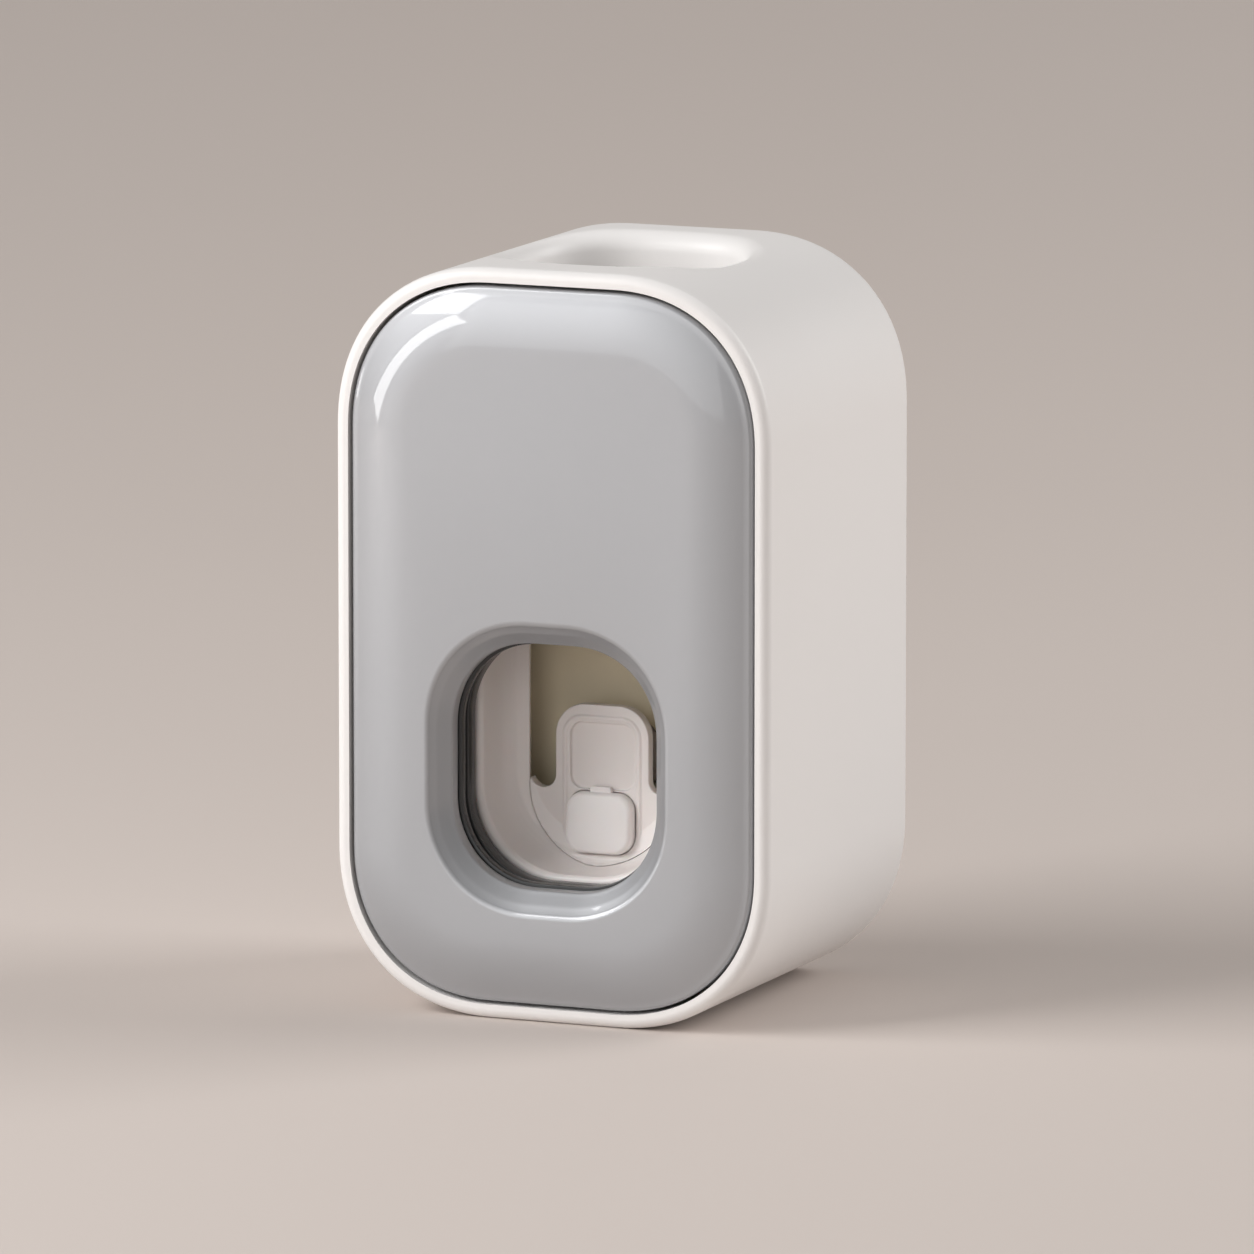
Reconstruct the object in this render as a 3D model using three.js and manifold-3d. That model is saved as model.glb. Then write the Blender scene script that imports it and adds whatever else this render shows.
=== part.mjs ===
// Wall-mounted toothpaste dispenser: a white tunnel housing with a domed grey front
// cover, a brush window with a push lever behind it, and a small diaphragm pump that is
// fed by a tube standing in the well on top. Millimetres, +Z up, front towards -Y.
// The origin is the middle of the underside.

import * as THREE from 'three';
import { mergeVertices } from 'three/addons/utils/BufferGeometryUtils.js';
import Module from 'manifold-3d';

const wasm = await Module();
wasm.setup();

// Fits: the space between parts that seat, and between parts that move
const fit = 0.3;
const tapeFit = 0.1;
const overcut = 1;

// Housing
const bodyWidth = 64;
const bodyHeight = 103.6;
const bodyDepth = 52;
const cornerReach = 23;
const cornerPower = 2.2;
const shellWall = 2;
const backWall = 2.2;
const rimRound = 1.4;
const backRound = 2;
const stopRibReach = 1.6;
const stopRibThickness = 2;
const stopRibHeight = 40;

// Tube well in the top of the housing
const wellWidth = 30.4;
const wellDepth = 32.4;
const wellCornerPower = 2.6;
const wellLipRound = 2.8;
const wellWall = 1.8;
const wellDrop = 27.6;
const wellSetback = 26.5;

// Front cover: a domed lid that plugs into the housing
const coverRise = 1.8;
const coverBand = 9;
const coverGap = 0.45;
const coverWall = 2;
const coverSkirt = 6.5;
const coverSkirtWall = 1.6;
const coverEdgeRound = 0.7;

// Brush window in the cover: a flared mouth and a short tunnel
const windowWidth = 30.2;
const windowHeight = 34;
const windowCentre = 35.2;
const windowCorner = 12.2;
const windowPower = 2.1;
const flareReach = 2.4;
const flareReachUp = 2.9;
const flareDepth = 1.2;
const tunnelWall = 1.6;
const tunnelDepth = 3.2;
const mouthRound = 0.6;
const mouthCurve = [
  { share: 0.1, depth: flareDepth },
  { share: 0.75, depth: mouthRound - coverRise },
  { share: 0.9, depth: mouthRound / 3 - coverRise },
];

// Dark ring behind the window
const gasketLength = 5.7;
const gasketInset = 0.4;
const gasketGroove = 1.1;
const gasketGrooveFront = 1.5;
const gasketGrooveLength = 1.5;

// Brush bowl: its rim stands behind the ring, and its walls curve into a flat back
const bowlWidth = 32;
const bowlBottom = 17.2;
const bowlTop = 57;
const bowlCorner = 13.5;
const bowlRimSetback = 9.8;
const bowlDepth = 8.2;
const bowlWall = 1.7;
const bowlRim = 1.3;
const bowlCurveReach = 4;
const bowlCurve = [
  { along: 0.6, inward: 0.025 },
  { along: 0.8, inward: 0.125 },
  { along: 0.92, inward: 0.325 },
  { along: 0.98, inward: 0.625 },
  { along: 1, inward: 1 },
];
const bossRadius = 2.4;
const bossOutside = 0.2;
const bossBelowPump = 5;
const bossAbovePump = 7;
const bossEmbed = 2;

// Push lever: the tongue cut out of the bowl's back wall
const leverHalfWidth = 6.9;
const leverTop = 41.3;
const leverTopCorner = 5.2;
const slotWidth = 3.9;
const slotFloor = 29.3;
const hornAngle = 0.9;
const panelHalfWidth = 4.8;
const panelTop = 38.8;
const panelCorner = 1.8;
const panelSink = 0.6;

// Push pad on the lever
const padWidth = 9.8;
const padBottom = 20;
const padTop = 29.2;
const padCorner = 2;
const padProud = 1.5;
const padRound = 0.6;
const padSeatDepth = 0.5;
const padTabWidth = 3.1;
const padTabHeight = 0.8;
const padTabThickness = 0.8;

// Lever pivot
const pinRadius = 1;
const pivotSetback = 22.5;
const pivotHeight = 22.6;
const lugRadius = 1.9;
const lugInner = 3;
const lugWidth = 2.4;
const earWidth = 2.4;

// Core chassis: the upright plate and the shelf that carries the tube socket
const plateSetback = 25;
const plateThickness = 2.2;
const shelfDrop = 5.8;
const shelfThickness = 2.2;
const shelfWidth = 48;
const shelfDepth = 34;
const shelfCorner = 8;
const gussetThickness = 2;
const gussetSize = 9;
const gussetSpread = 16;

// Pump
const pumpHeight = 33;
const chamberRadius = 8;
const chamberWall = 2.3;
const chamberLength = 14.5;
const flangeSeatReach = 1;
const riserHalfWidth = 7.5;
const riserCorner = 2;
const flangeMargin = 3.8;
const flangeMarginUp = 4.5;
const flangeThickness = 2.2;
const inletRadius = 3.2;
const inletSetback = 36.5;
const inletLegRadius = 2.6;
const inletLegDrop = 3.8;
const outletRadius = 2;
const outletSetback = 30.6;
const armHalfWidth = 5;
const armCorner = 1.5;
const armOverhang = 1.5;
const armDrop = 6.5;
const armHeight = 7;
const funnelRadius = 10.5;
const funnelBoreRadius = 4.5;

// Plunger, diaphragm, spring and end cap
const noseRadius = 3;
const plungerDiscRadius = 5.2;
const plungerDiscThickness = 1.6;
const plungerBoreRadius = 6.5;
const diaphragmFlange = 1.1;
const diaphragmWall = 1;
const diaphragmCup = 2.2;
const springCoilRadius = 4.6;
const springWireRadius = 0.4;
const springTurns = 5;
const capThickness = 2.4;
const capSpigot = 1.2;
const sealWireRadius = 0.6;

// Nozzle and valves
const nozzleSetback = 12.5;
const nozzleReach = 2.2;
const nozzleRadius = 2.8;
const nozzleTaper = 0.4;
const nozzleBore = 1.7;
const nozzleFlangeRadius = 4;
const nozzleFlange = 1.2;
const outletValveThickness = 1;
const slitRadius = 0.5;
const inletValveLift = 9;
const inletValveLength = 5.6;
const inletValveWall = 0.8;

// Tube socket and its ring
const socketNeckRadius = 8;
const socketFlangeRadius = 12;
const socketFlange = 1.6;
const socketBore = 5;
const socketMouth = 6.6;
const socketNeckDrop = 4.6;
const ringWall = 1.8;
const ringHeight = 4;
const ringLip = 1.2;
const ringLipReach = 2.4;

// Screws that clamp pump, chassis and bowl together
const screwRadius = 1.3;
const screwHeadRadius = 2.6;
const screwHeadHeight = 1.8;
const screwLength = 11;
const driveWidth = 0.7;
const driveDepth = 0.9;

// Wall bracket, its tape and the recess that it sits in
const bracketWidth = 34;
const bracketHeight = 33;
const bracketCorner = 4;
const bracketThickness = 2.6;
const bracketTravel = 10;
const bracketDrop = 15.6;
const tapeThickness = 0.8;
const tapeInset = 1.5;
const recessWall = 2;
const hookNeckWidth = 5;
const hookNeckHeight = 4;
const hookHeadWidth = 11;
const hookHeadHeight = 6;
const hookHeadThickness = 1.8;
const hookHeadCorner = 1;
const hookDrop = 5;

// Rounding steps of the large, the middling and the small curves
const cornerSteps = 9;
const smallSteps = 5;
const latheSteps = 20;
const pinSteps = 14;

// Datum planes
const rimY = coverRise - (bodyDepth + coverRise) / 2;
const behindRim = (distance) => rimY + distance;
const backY = behindRim(bodyDepth);
const pumpFront = plateSetback + plateThickness + fit;
const chamberEnd = pumpFront + chamberLength;
const shelfTop = bodyHeight - wellDrop - shelfDrop;
const plateTop = shelfTop - shelfThickness;
const bowlBack = bowlRimSetback + bowlDepth;
const gasketSetback = tunnelDepth + fit;
const slotOuter = leverHalfWidth + slotWidth;
const cutoutCentre = bowlBottom + bowlWall + fit + slotOuter;
const leverBase = slotOuter - fit;
const leverBack = bowlBack + bowlWall;
const bossSpread = bowlWidth / 2 + bossOutside;
const bossLow = pumpHeight - bossBelowPump;
const bossHigh = pumpHeight + bossAbovePump;
const screwTip = pumpFront + flangeThickness + fit - screwLength;
const funnelTop = plateTop - fit;
const inletLegHeight = plateTop - inletLegDrop;
const inletValveTop = pumpHeight + chamberRadius + inletValveLift;
const armTop = plateTop - armDrop;
const armBottom = armTop - armHeight;
const outletHeight = armTop - armHeight / 2;
const nozzleTip = armBottom - nozzleReach;

// Materials
const plastic = (color, roughness) => new THREE.MeshStandardMaterial({
  color,
  roughness,
  metalness: 0,
});
const whiteShell = plastic(0xebe9e6, 0.45);
const greyGloss = plastic(0xa6abae, 0.18);
const darkRubber = plastic(0x35373a, 0.5);
const warmWhite = plastic(0xd9d3cf, 0.4);
const softWhite = plastic(0xd3cdc9, 0.6);
const cream = plastic(0xd8c9a4, 0.5);
const creamDark = plastic(0xc9b98f, 0.5);
const silicone = plastic(0xdfe2e2, 0.65);
const foamGrey = plastic(0x8f9294, 0.9);
const steel = new THREE.MeshStandardMaterial({
  color: 0xb9bcc0,
  roughness: 0.3,
  metalness: 1,
});

// Closed solids from three.js geometry
function asSolid(geometry) {
  const bare = geometry.clone();
  bare.deleteAttribute('normal');
  bare.deleteAttribute('uv');
  const merged = mergeVertices(bare, 1e-4);
  const position = merged.attributes.position;
  const corners = [];
  let volume = 0;
  const a = new THREE.Vector3();
  const b = new THREE.Vector3();
  const c = new THREE.Vector3();
  for (let i = 0; i < merged.index.count; i += 3) {
    const triangle = [0, 1, 2].map((k) => merged.index.getX(i + k));
    if (new Set(triangle).size < 3) continue;
    corners.push(triangle);
    a.fromBufferAttribute(position, triangle[0]);
    b.fromBufferAttribute(position, triangle[1]);
    c.fromBufferAttribute(position, triangle[2]);
    volume += a.dot(b.cross(c));
  }
  if (volume < 0) corners.forEach((triangle) => triangle.reverse());
  const mesh = new wasm.Mesh({
    numProp: 3,
    vertProperties: new Float32Array(position.array),
    triVerts: new Uint32Array(corners.flat()),
  });
  return new wasm.Manifold(mesh);
}

function asGeometry(solid) {
  const mesh = solid.getMesh();
  const geometry = new THREE.BufferGeometry();
  geometry.setAttribute('position', new THREE.BufferAttribute(mesh.vertProperties, 3));
  geometry.setIndex(new THREE.BufferAttribute(mesh.triVerts, 1));
  geometry.computeVertexNormals();
  return geometry;
}

const join = (first, ...others) => others.reduce((whole, part) => whole.add(part), first);
const cut = (first, ...others) => others.reduce((whole, part) => whole.subtract(part), first);

// A rounded rectangle whose corners are superellipse quarters, as points [u, v]
function outline(width, height, reach, power, steps = cornerSteps) {
  const radius = Math.min(reach, width / 2, height / 2);
  const signs = [[1, 1], [-1, 1], [-1, -1], [1, -1]];
  return signs.flatMap(([signU, signV], quarter) => {
    const points = [];
    for (let i = 0; i <= steps; i += 1) {
      const turn = (Math.PI / 2) * (i / steps);
      const angle = quarter % 2 === 0 ? turn : Math.PI / 2 - turn;
      const u = width / 2 - radius + radius * Math.abs(Math.cos(angle)) ** (2 / power);
      const v = height / 2 - radius + radius * Math.abs(Math.sin(angle)) ** (2 / power);
      points.push([signU * u, signV * v]);
    }
    return points;
  });
}

const ringAtDepth = (points, y, z) => points.map(([u, v]) => new THREE.Vector3(u, y, z + v));
const ringAtHeight = (points, y, z) => points.map(([u, v]) => new THREE.Vector3(u, y + v, z));

// A closed skin over a row of rings, with a fan at each end
function loft(rings) {
  const count = rings[0].length;
  const middle = (ring) => ring
    .reduce((sum, point) => sum.add(point), new THREE.Vector3())
    .divideScalar(count);
  const points = [...rings.flat(), middle(rings[0]), middle(rings[rings.length - 1])];
  const index = [];
  const firstMiddle = rings.length * count;
  const lastRing = (rings.length - 1) * count;
  for (let i = 0; i < count; i += 1) {
    const next = (i + 1) % count;
    for (let j = 0; j + 1 < rings.length; j += 1) {
      const near = j * count;
      const far = near + count;
      index.push(near + i, near + next, far + next, near + i, far + next, far + i);
    }
    index.push(firstMiddle, next, i, firstMiddle + 1, lastRing + i, lastRing + next);
  }
  const geometry = new THREE.BufferGeometry();
  geometry.setAttribute(
    'position',
    new THREE.Float32BufferAttribute(points.flatMap((p) => [p.x, p.y, p.z]), 3),
  );
  geometry.setIndex(index);
  return asSolid(geometry);
}

// Prisms: the shape is drawn as [across, up] and pushed along one axis
function prism(shape, length, round = 0, steps = smallSteps) {
  return new THREE.ExtrudeGeometry(shape, {
    depth: length - 2 * round,
    bevelEnabled: round > 0,
    bevelThickness: round,
    bevelSize: round,
    bevelOffset: -round,
    bevelSegments: 2,
    curveSegments: steps,
  }).translate(0, 0, round);
}

const slabY = (shape, front, back, round, steps) => asSolid(
  prism(shape, back - front, round, steps).rotateX(Math.PI / 2).translate(0, back, 0),
);
const slabZ = (shape, bottom, top, round, steps) => asSolid(
  prism(shape, top - bottom, round, steps).translate(0, 0, bottom),
);
const slabX = (shape, left, right, round, steps) => asSolid(
  prism(shape, right - left, round, steps)
    .rotateX(Math.PI / 2)
    .rotateZ(Math.PI / 2)
    .translate(left, 0, 0),
);

function roundedRect(width, height, corner, u = 0, v = 0) {
  const r = Math.min(corner, width / 2 - 0.01, height / 2 - 0.01);
  const shape = new THREE.Shape();
  const right = u + width / 2;
  const top = v + height / 2;
  const left = u - width / 2;
  const bottom = v - height / 2;
  shape.absarc(right - r, top - r, r, 0, Math.PI / 2);
  shape.absarc(left + r, top - r, r, Math.PI / 2, Math.PI);
  shape.absarc(left + r, bottom + r, r, Math.PI, Math.PI * 1.5);
  shape.absarc(right - r, bottom + r, r, Math.PI * 1.5, Math.PI * 2);
  return shape;
}

const block = (x0, x1, y0, y1, z0, z1) => asSolid(
  new THREE.BoxGeometry(x1 - x0, y1 - y0, z1 - z0)
    .translate((x0 + x1) / 2, (y0 + y1) / 2, (z0 + z1) / 2),
);

const rod = (radius, length, steps = latheSteps) => new THREE.CylinderGeometry(
  radius,
  radius,
  length,
  steps,
);
const rodY = (radius, front, back, x, z, steps) => asSolid(
  rod(radius, back - front, steps).translate(x, (front + back) / 2, z),
);
const rodZ = (radius, bottom, top, x, y, steps) => asSolid(
  rod(radius, top - bottom, steps).rotateX(Math.PI / 2).translate(x, y, (bottom + top) / 2),
);
const rodX = (radius, left, right, y, z, steps) => asSolid(
  rod(radius, right - left, steps).rotateZ(Math.PI / 2).translate((left + right) / 2, y, z),
);

// Turned parts: the profile is [radius, place along the axis] and closes on itself
function turned(profile, steps = latheSteps) {
  const points = profile.map(([radius, along]) => new THREE.Vector2(radius, along));
  points.push(points[0].clone());
  return new THREE.LatheGeometry(points, steps);
}
const turnedY = (profile, x, z, steps) => asSolid(turned(profile, steps).translate(x, 0, z));
const turnedZ = (profile, x, y, steps) => asSolid(
  turned(profile, steps).rotateX(Math.PI / 2).translate(x, y, 0),
);

// The quarter turn of a rounding as [share outward, share along]
const quarter = (steps) => Array.from({ length: steps + 1 }, (_, i) => {
  const angle = (Math.PI / 2) * (i / steps);
  return [1 - Math.sin(angle), 1 - Math.cos(angle)];
});

// The housing's outline drawn in by an inset, at one depth
function bodyRing(inset, y) {
  return ringAtDepth(
    outline(
      bodyWidth - 2 * inset,
      bodyHeight - 2 * inset,
      cornerReach - inset,
      cornerPower,
    ),
    y,
    bodyHeight / 2,
  );
}

// How far the housing's top lies below its highest line, at a place across it
function topFall(x) {
  const share = Math.max(0, Math.abs(x) - bodyWidth / 2 + cornerReach) / cornerReach;
  return cornerReach * (1 - (1 - share ** cornerPower) ** (1 / cornerPower));
}

function wellRing(offset, z) {
  return ringAtHeight(
    outline(
      wellWidth + 2 * offset,
      wellDepth + 2 * offset,
      (wellWidth + wellDepth) / 4 + offset,
      wellCornerPower,
    ),
    behindRim(wellSetback),
    z,
  );
}

// The same ring at a drop below the housing's top, which it follows
const wellLipRing = (offset, drop) => wellRing(offset, bodyHeight - drop)
  .map((point) => point.setZ(point.z - topFall(point.x)));

// Bracket places, shared by the recess, the bracket and its tape
const bracketTop = bodyHeight - bracketDrop;
const recessDepth = tapeThickness + tapeFit + bracketThickness + fit;
const recessFloorY = backY - recessDepth;
const recessTop = bracketTop + fit;
const recessBottom = bracketTop - bracketHeight - bracketTravel - fit;
const recessWidth = bracketWidth + 2 * fit;
const bracketMiddle = bracketTop - bracketHeight / 2;
const hookHeight = bracketMiddle - hookDrop;

function outerShell() {
  const outer = loft([
    ...quarter(3).map(([out, along]) => bodyRing(out * rimRound, rimY + along * rimRound)),
    ...quarter(3).reverse().map(([out, along]) => bodyRing(
      out * backRound,
      backY - along * backRound,
    )),
  ]);
  const cavity = loft([
    bodyRing(shellWall, rimY - overcut),
    bodyRing(shellWall, backY - backWall),
  ]);
  const recessMiddle = (recessTop + recessBottom) / 2;
  const recessHeight = recessTop - recessBottom;
  const recessBox = slabY(
    roundedRect(
      recessWidth + 2 * recessWall,
      recessHeight + 2 * recessWall,
      bracketCorner + recessWall,
      0,
      recessMiddle,
    ),
    recessFloorY - recessWall,
    backY - backWall / 2,
  );
  const recess = slabY(
    roundedRect(recessWidth, recessHeight, bracketCorner, 0, recessMiddle),
    recessFloorY,
    backY + overcut,
  );
  const slotTop = hookHeight + hookNeckHeight / 2 + fit;
  const mouthMiddle = hookHeight - bracketTravel;
  const hookSlot = block(
    -hookNeckWidth / 2 - fit,
    hookNeckWidth / 2 + fit,
    recessFloorY - recessWall - overcut,
    recessFloorY + overcut,
    mouthMiddle,
    slotTop,
  );
  const hookMouth = block(
    -hookHeadWidth / 2 - 2 * fit,
    hookHeadWidth / 2 + 2 * fit,
    recessFloorY - recessWall - overcut,
    recessFloorY + overcut,
    mouthMiddle - hookHeadHeight / 2 - 2 * fit,
    mouthMiddle + hookHeadHeight / 2 + 2 * fit,
  );
  const wellBottom = bodyHeight - wellDrop;
  const wellSkirt = loft([
    wellRing(wellWall, wellBottom),
    wellLipRing(wellWall, shellWall / 2),
  ]);
  const wellHole = loft([
    wellRing(0, wellBottom - overcut),
    ...quarter(4).map(([out, along]) => wellLipRing(along * wellLipRound, out * wellLipRound)),
    wellRing(wellLipRound, bodyHeight + overcut),
  ]);
  const cavityHalf = bodyWidth / 2 - shellWall;
  const ribs = [-1, 1].map((side) => {
    const inner = side * (cavityHalf - stopRibReach);
    const outerFace = side * (cavityHalf + shellWall / 2);
    return block(
      Math.min(inner, outerFace),
      Math.max(inner, outerFace),
      behindRim(pumpFront),
      behindRim(pumpFront + stopRibThickness),
      (bodyHeight - stopRibHeight) / 2,
      (bodyHeight + stopRibHeight) / 2,
    );
  });
  const hollow = join(cut(outer, cavity), recessBox, wellSkirt, ...ribs);
  return cut(hollow, recess, hookSlot, hookMouth, wellHole);
}

// The cover's own outline, measured from its edge
const coverRing = (inset, setback) => bodyRing(
  shellWall + coverGap + inset,
  behindRim(setback),
);

function windowRing(grow, growUp, setback) {
  return ringAtDepth(
    outline(
      windowWidth + 2 * grow,
      windowHeight + 2 * growUp,
      windowCorner + (grow + growUp) / 2,
      windowPower,
    ),
    behindRim(setback),
    windowCentre,
  );
}

function frontCover() {
  const bandSteps = [0.12, 0.3, 0.5, 0.75, 1];
  const domeFall = (share) => coverRise * (1 - (1 - share) ** 2);
  const outer = loft([
    coverRing(0, coverSkirt),
    ...quarter(3).reverse().map(([out, along]) => coverRing(
      out * coverEdgeRound,
      along * coverEdgeRound,
    )),
    ...bandSteps.map((share) => coverRing(
      coverEdgeRound + share * (coverBand - coverEdgeRound),
      -domeFall(share),
    )),
  ]);
  const inner = loft([
    coverRing(coverSkirtWall, coverSkirt + overcut),
    coverRing(coverSkirtWall, coverWall + coverEdgeRound),
    coverRing(coverSkirtWall + coverEdgeRound, coverWall),
    coverRing(coverBand, coverWall - coverRise),
  ]);
  const tunnel = loft([
    windowRing(tunnelWall, tunnelWall, tunnelDepth),
    windowRing(tunnelWall + flareReach / 2, tunnelWall + flareReachUp / 2, 0),
    windowRing(tunnelWall + flareReach, tunnelWall + flareReachUp, -coverRise / 2),
  ]);
  const mouth = loft([
    windowRing(0, 0, tunnelDepth + overcut),
    windowRing(0, 0, flareDepth + mouthRound / 2),
    ...mouthCurve.map(({ share, depth }) => windowRing(
      flareReach * share,
      flareReachUp * share,
      depth,
    )),
    windowRing(flareReach, flareReachUp, -coverRise),
    windowRing(flareReach + mouthRound, flareReachUp + mouthRound, -coverRise - overcut),
  ]);
  return cut(join(cut(outer, inner), tunnel), mouth);
}

function windowGasket() {
  const end = gasketSetback + gasketLength;
  const grooveFront = gasketSetback + gasketGrooveFront;
  const grooveBack = grooveFront + gasketGrooveLength;
  const bevel = mouthRound / 2;
  const outer = loft([
    windowRing(tunnelWall - bevel, tunnelWall - bevel, gasketSetback),
    windowRing(tunnelWall, tunnelWall, gasketSetback + bevel),
    windowRing(tunnelWall, tunnelWall, end - bevel),
    windowRing(tunnelWall - bevel, tunnelWall - bevel, end),
  ]);
  const inner = loft([
    windowRing(-gasketInset, -gasketInset, gasketSetback - overcut),
    windowRing(-gasketInset, -gasketInset, grooveFront),
    windowRing(gasketGroove, gasketGroove, grooveFront + bevel / 2),
    windowRing(gasketGroove, gasketGroove, grooveBack),
    windowRing(0, 0, grooveBack + bevel / 2),
    windowRing(0, 0, end + overcut),
  ]);
  return cut(outer, inner);
}

// The bowl's outline drawn in by an inset. It is taller than the bowl, whose top is open.
const bowlHeight = 2 * (bowlTop - bowlBottom);
function bowlRing(inset, setback) {
  return ringAtDepth(
    outline(
      bowlWidth - 2 * inset,
      bowlHeight - 2 * inset,
      bowlCorner - inset * 0.6,
      windowPower,
    ),
    behindRim(setback),
    bowlBottom + bowlHeight / 2,
  );
}

// The bowl before its slots are cut: the lever is the piece that the slots set free
function bowlSkin() {
  const outer = loft([
    bowlRing(bowlRim * 0.7, bowlRimSetback),
    bowlRing(bowlRim * 0.2, bowlRimSetback + bowlRim * 0.3),
    bowlRing(0, bowlRimSetback + bowlRim),
    bowlRing(bowlRim * 0.6, bowlRimSetback + bowlRim * 1.6),
    ...bowlCurve.map(({ along, inward }) => bowlRing(
      bowlRim * 0.6 + bowlCurveReach * inward * 0.9,
      bowlRimSetback + bowlDepth * along + bowlWall,
    )),
  ]);
  const inner = loft([
    bowlRing(bowlRim * 0.8, bowlRimSetback - overcut),
    bowlRing(bowlRim, bowlRimSetback + bowlRim / 2),
    ...bowlCurve.map(({ along, inward }) => bowlRing(
      bowlRim + bowlCurveReach * inward,
      bowlRimSetback + bowlDepth * along,
    )),
  ]);
  const opening = block(
    -bowlWidth,
    bowlWidth,
    behindRim(0),
    behindRim(bowlBack + 2 * bowlWall),
    bowlTop,
    bodyHeight * 2,
  );
  return cut(outer, inner, opening);
}

function innerLiner(skin) {
  const slotShape = new THREE.Shape();
  slotShape.moveTo(slotOuter, bodyHeight);
  slotShape.lineTo(-slotOuter, bodyHeight);
  slotShape.absarc(0, cutoutCentre, slotOuter, Math.PI, Math.PI * 2);
  const slots = slabY(
    slotShape,
    behindRim(bowlRimSetback + bowlDepth * 0.5),
    behindRim(leverBack + overcut),
    0,
    3 * smallSteps,
  );
  const bosses = [];
  const pilots = [];
  const bossFront = behindRim(bowlBack - bossEmbed);
  for (const x of [-bossSpread, bossSpread]) {
    for (const z of [bossLow, bossHigh]) {
      bosses.push(rodY(bossRadius, bossFront, behindRim(plateSetback - fit), x, z, pinSteps));
      pilots.push(rodY(
        screwRadius + fit,
        behindRim(screwTip - fit),
        behindRim(plateSetback),
        x,
        z,
        pinSteps,
      ));
    }
  }
  return cut(join(cut(skin, slots), ...bosses), ...pilots);
}

function leverOutline() {
  const round = slotWidth / 2;
  const roundX = leverHalfWidth + round;
  const roundZ = slotFloor + round;
  const shape = new THREE.Shape();
  const top = leverTop - leverTopCorner;
  const side = leverHalfWidth - leverTopCorner;
  shape.absarc(side, top, leverTopCorner, 0, Math.PI / 2);
  shape.absarc(-side, top, leverTopCorner, Math.PI / 2, Math.PI);
  shape.absarc(-roundX, roundZ, round, 0, -Math.PI / 2 - hornAngle, true);
  shape.absarc(0, cutoutCentre, leverBase, Math.PI, Math.PI * 2);
  shape.absarc(roundX, roundZ, round, -Math.PI / 2 + hornAngle, -Math.PI, true);
  return shape;
}

const padMiddle = (padTop + padBottom) / 2;
const padHeight = padTop - padBottom;

function pushLever(skin) {
  const tongue = skin.intersect(slabY(
    leverOutline(),
    behindRim(bowlRimSetback + bowlDepth * 0.5),
    behindRim(leverBack + overcut),
    0,
    2 * smallSteps,
  ));
  const panelBottom = padTop + fit;
  const panel = slabY(
    roundedRect(
      2 * panelHalfWidth,
      panelTop - panelBottom + 2 * panelCorner,
      panelCorner,
      0,
      (panelTop + panelBottom) / 2 - panelCorner,
    ),
    behindRim(bowlRimSetback),
    behindRim(bowlBack + panelSink),
  );
  const padSeat = slabY(
    roundedRect(padWidth + 2 * fit, padHeight + 2 * fit, padCorner + fit, 0, padMiddle),
    behindRim(bowlRimSetback),
    behindRim(bowlBack + padSeatDepth),
  );
  const panelOnly = cut(panel, block(
    -bodyWidth,
    bodyWidth,
    rimY,
    backY,
    0,
    panelBottom,
  ));
  const lugs = [-1, 1].map((side) => {
    const left = side > 0 ? lugInner : -lugInner - lugWidth;
    return join(
      rodX(lugRadius, left, left + lugWidth, behindRim(pivotSetback), pivotHeight, pinSteps),
      block(
        left,
        left + lugWidth,
        behindRim(leverBack - bowlWall / 2),
        behindRim(pivotSetback),
        pivotHeight - lugRadius * 0.6,
        pivotHeight + lugRadius,
      ),
    );
  });
  const pinHole = rodX(
    pinRadius + fit,
    -leverBase,
    leverBase,
    behindRim(pivotSetback),
    pivotHeight,
    pinSteps,
  );
  return cut(join(tongue, ...lugs), panelOnly, padSeat, pinHole);
}

function pushPad() {
  const back = behindRim(bowlBack + padSeatDepth - fit);
  const pad = slabY(
    roundedRect(padWidth, padHeight, padCorner, 0, padMiddle),
    behindRim(bowlBack - padProud),
    back,
    padRound,
  );
  const tab = slabY(
    roundedRect(padTabWidth, 2 * padTabHeight, padTabHeight / 2, 0, padTop),
    back - padTabThickness,
    back,
  );
  return join(pad, tab);
}

const pinEnd = lugInner + lugWidth + fit + earWidth;

function leverPin() {
  return rodX(
    pinRadius,
    -pinEnd,
    pinEnd,
    behindRim(pivotSetback),
    pivotHeight,
    pinSteps,
  );
}

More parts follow.
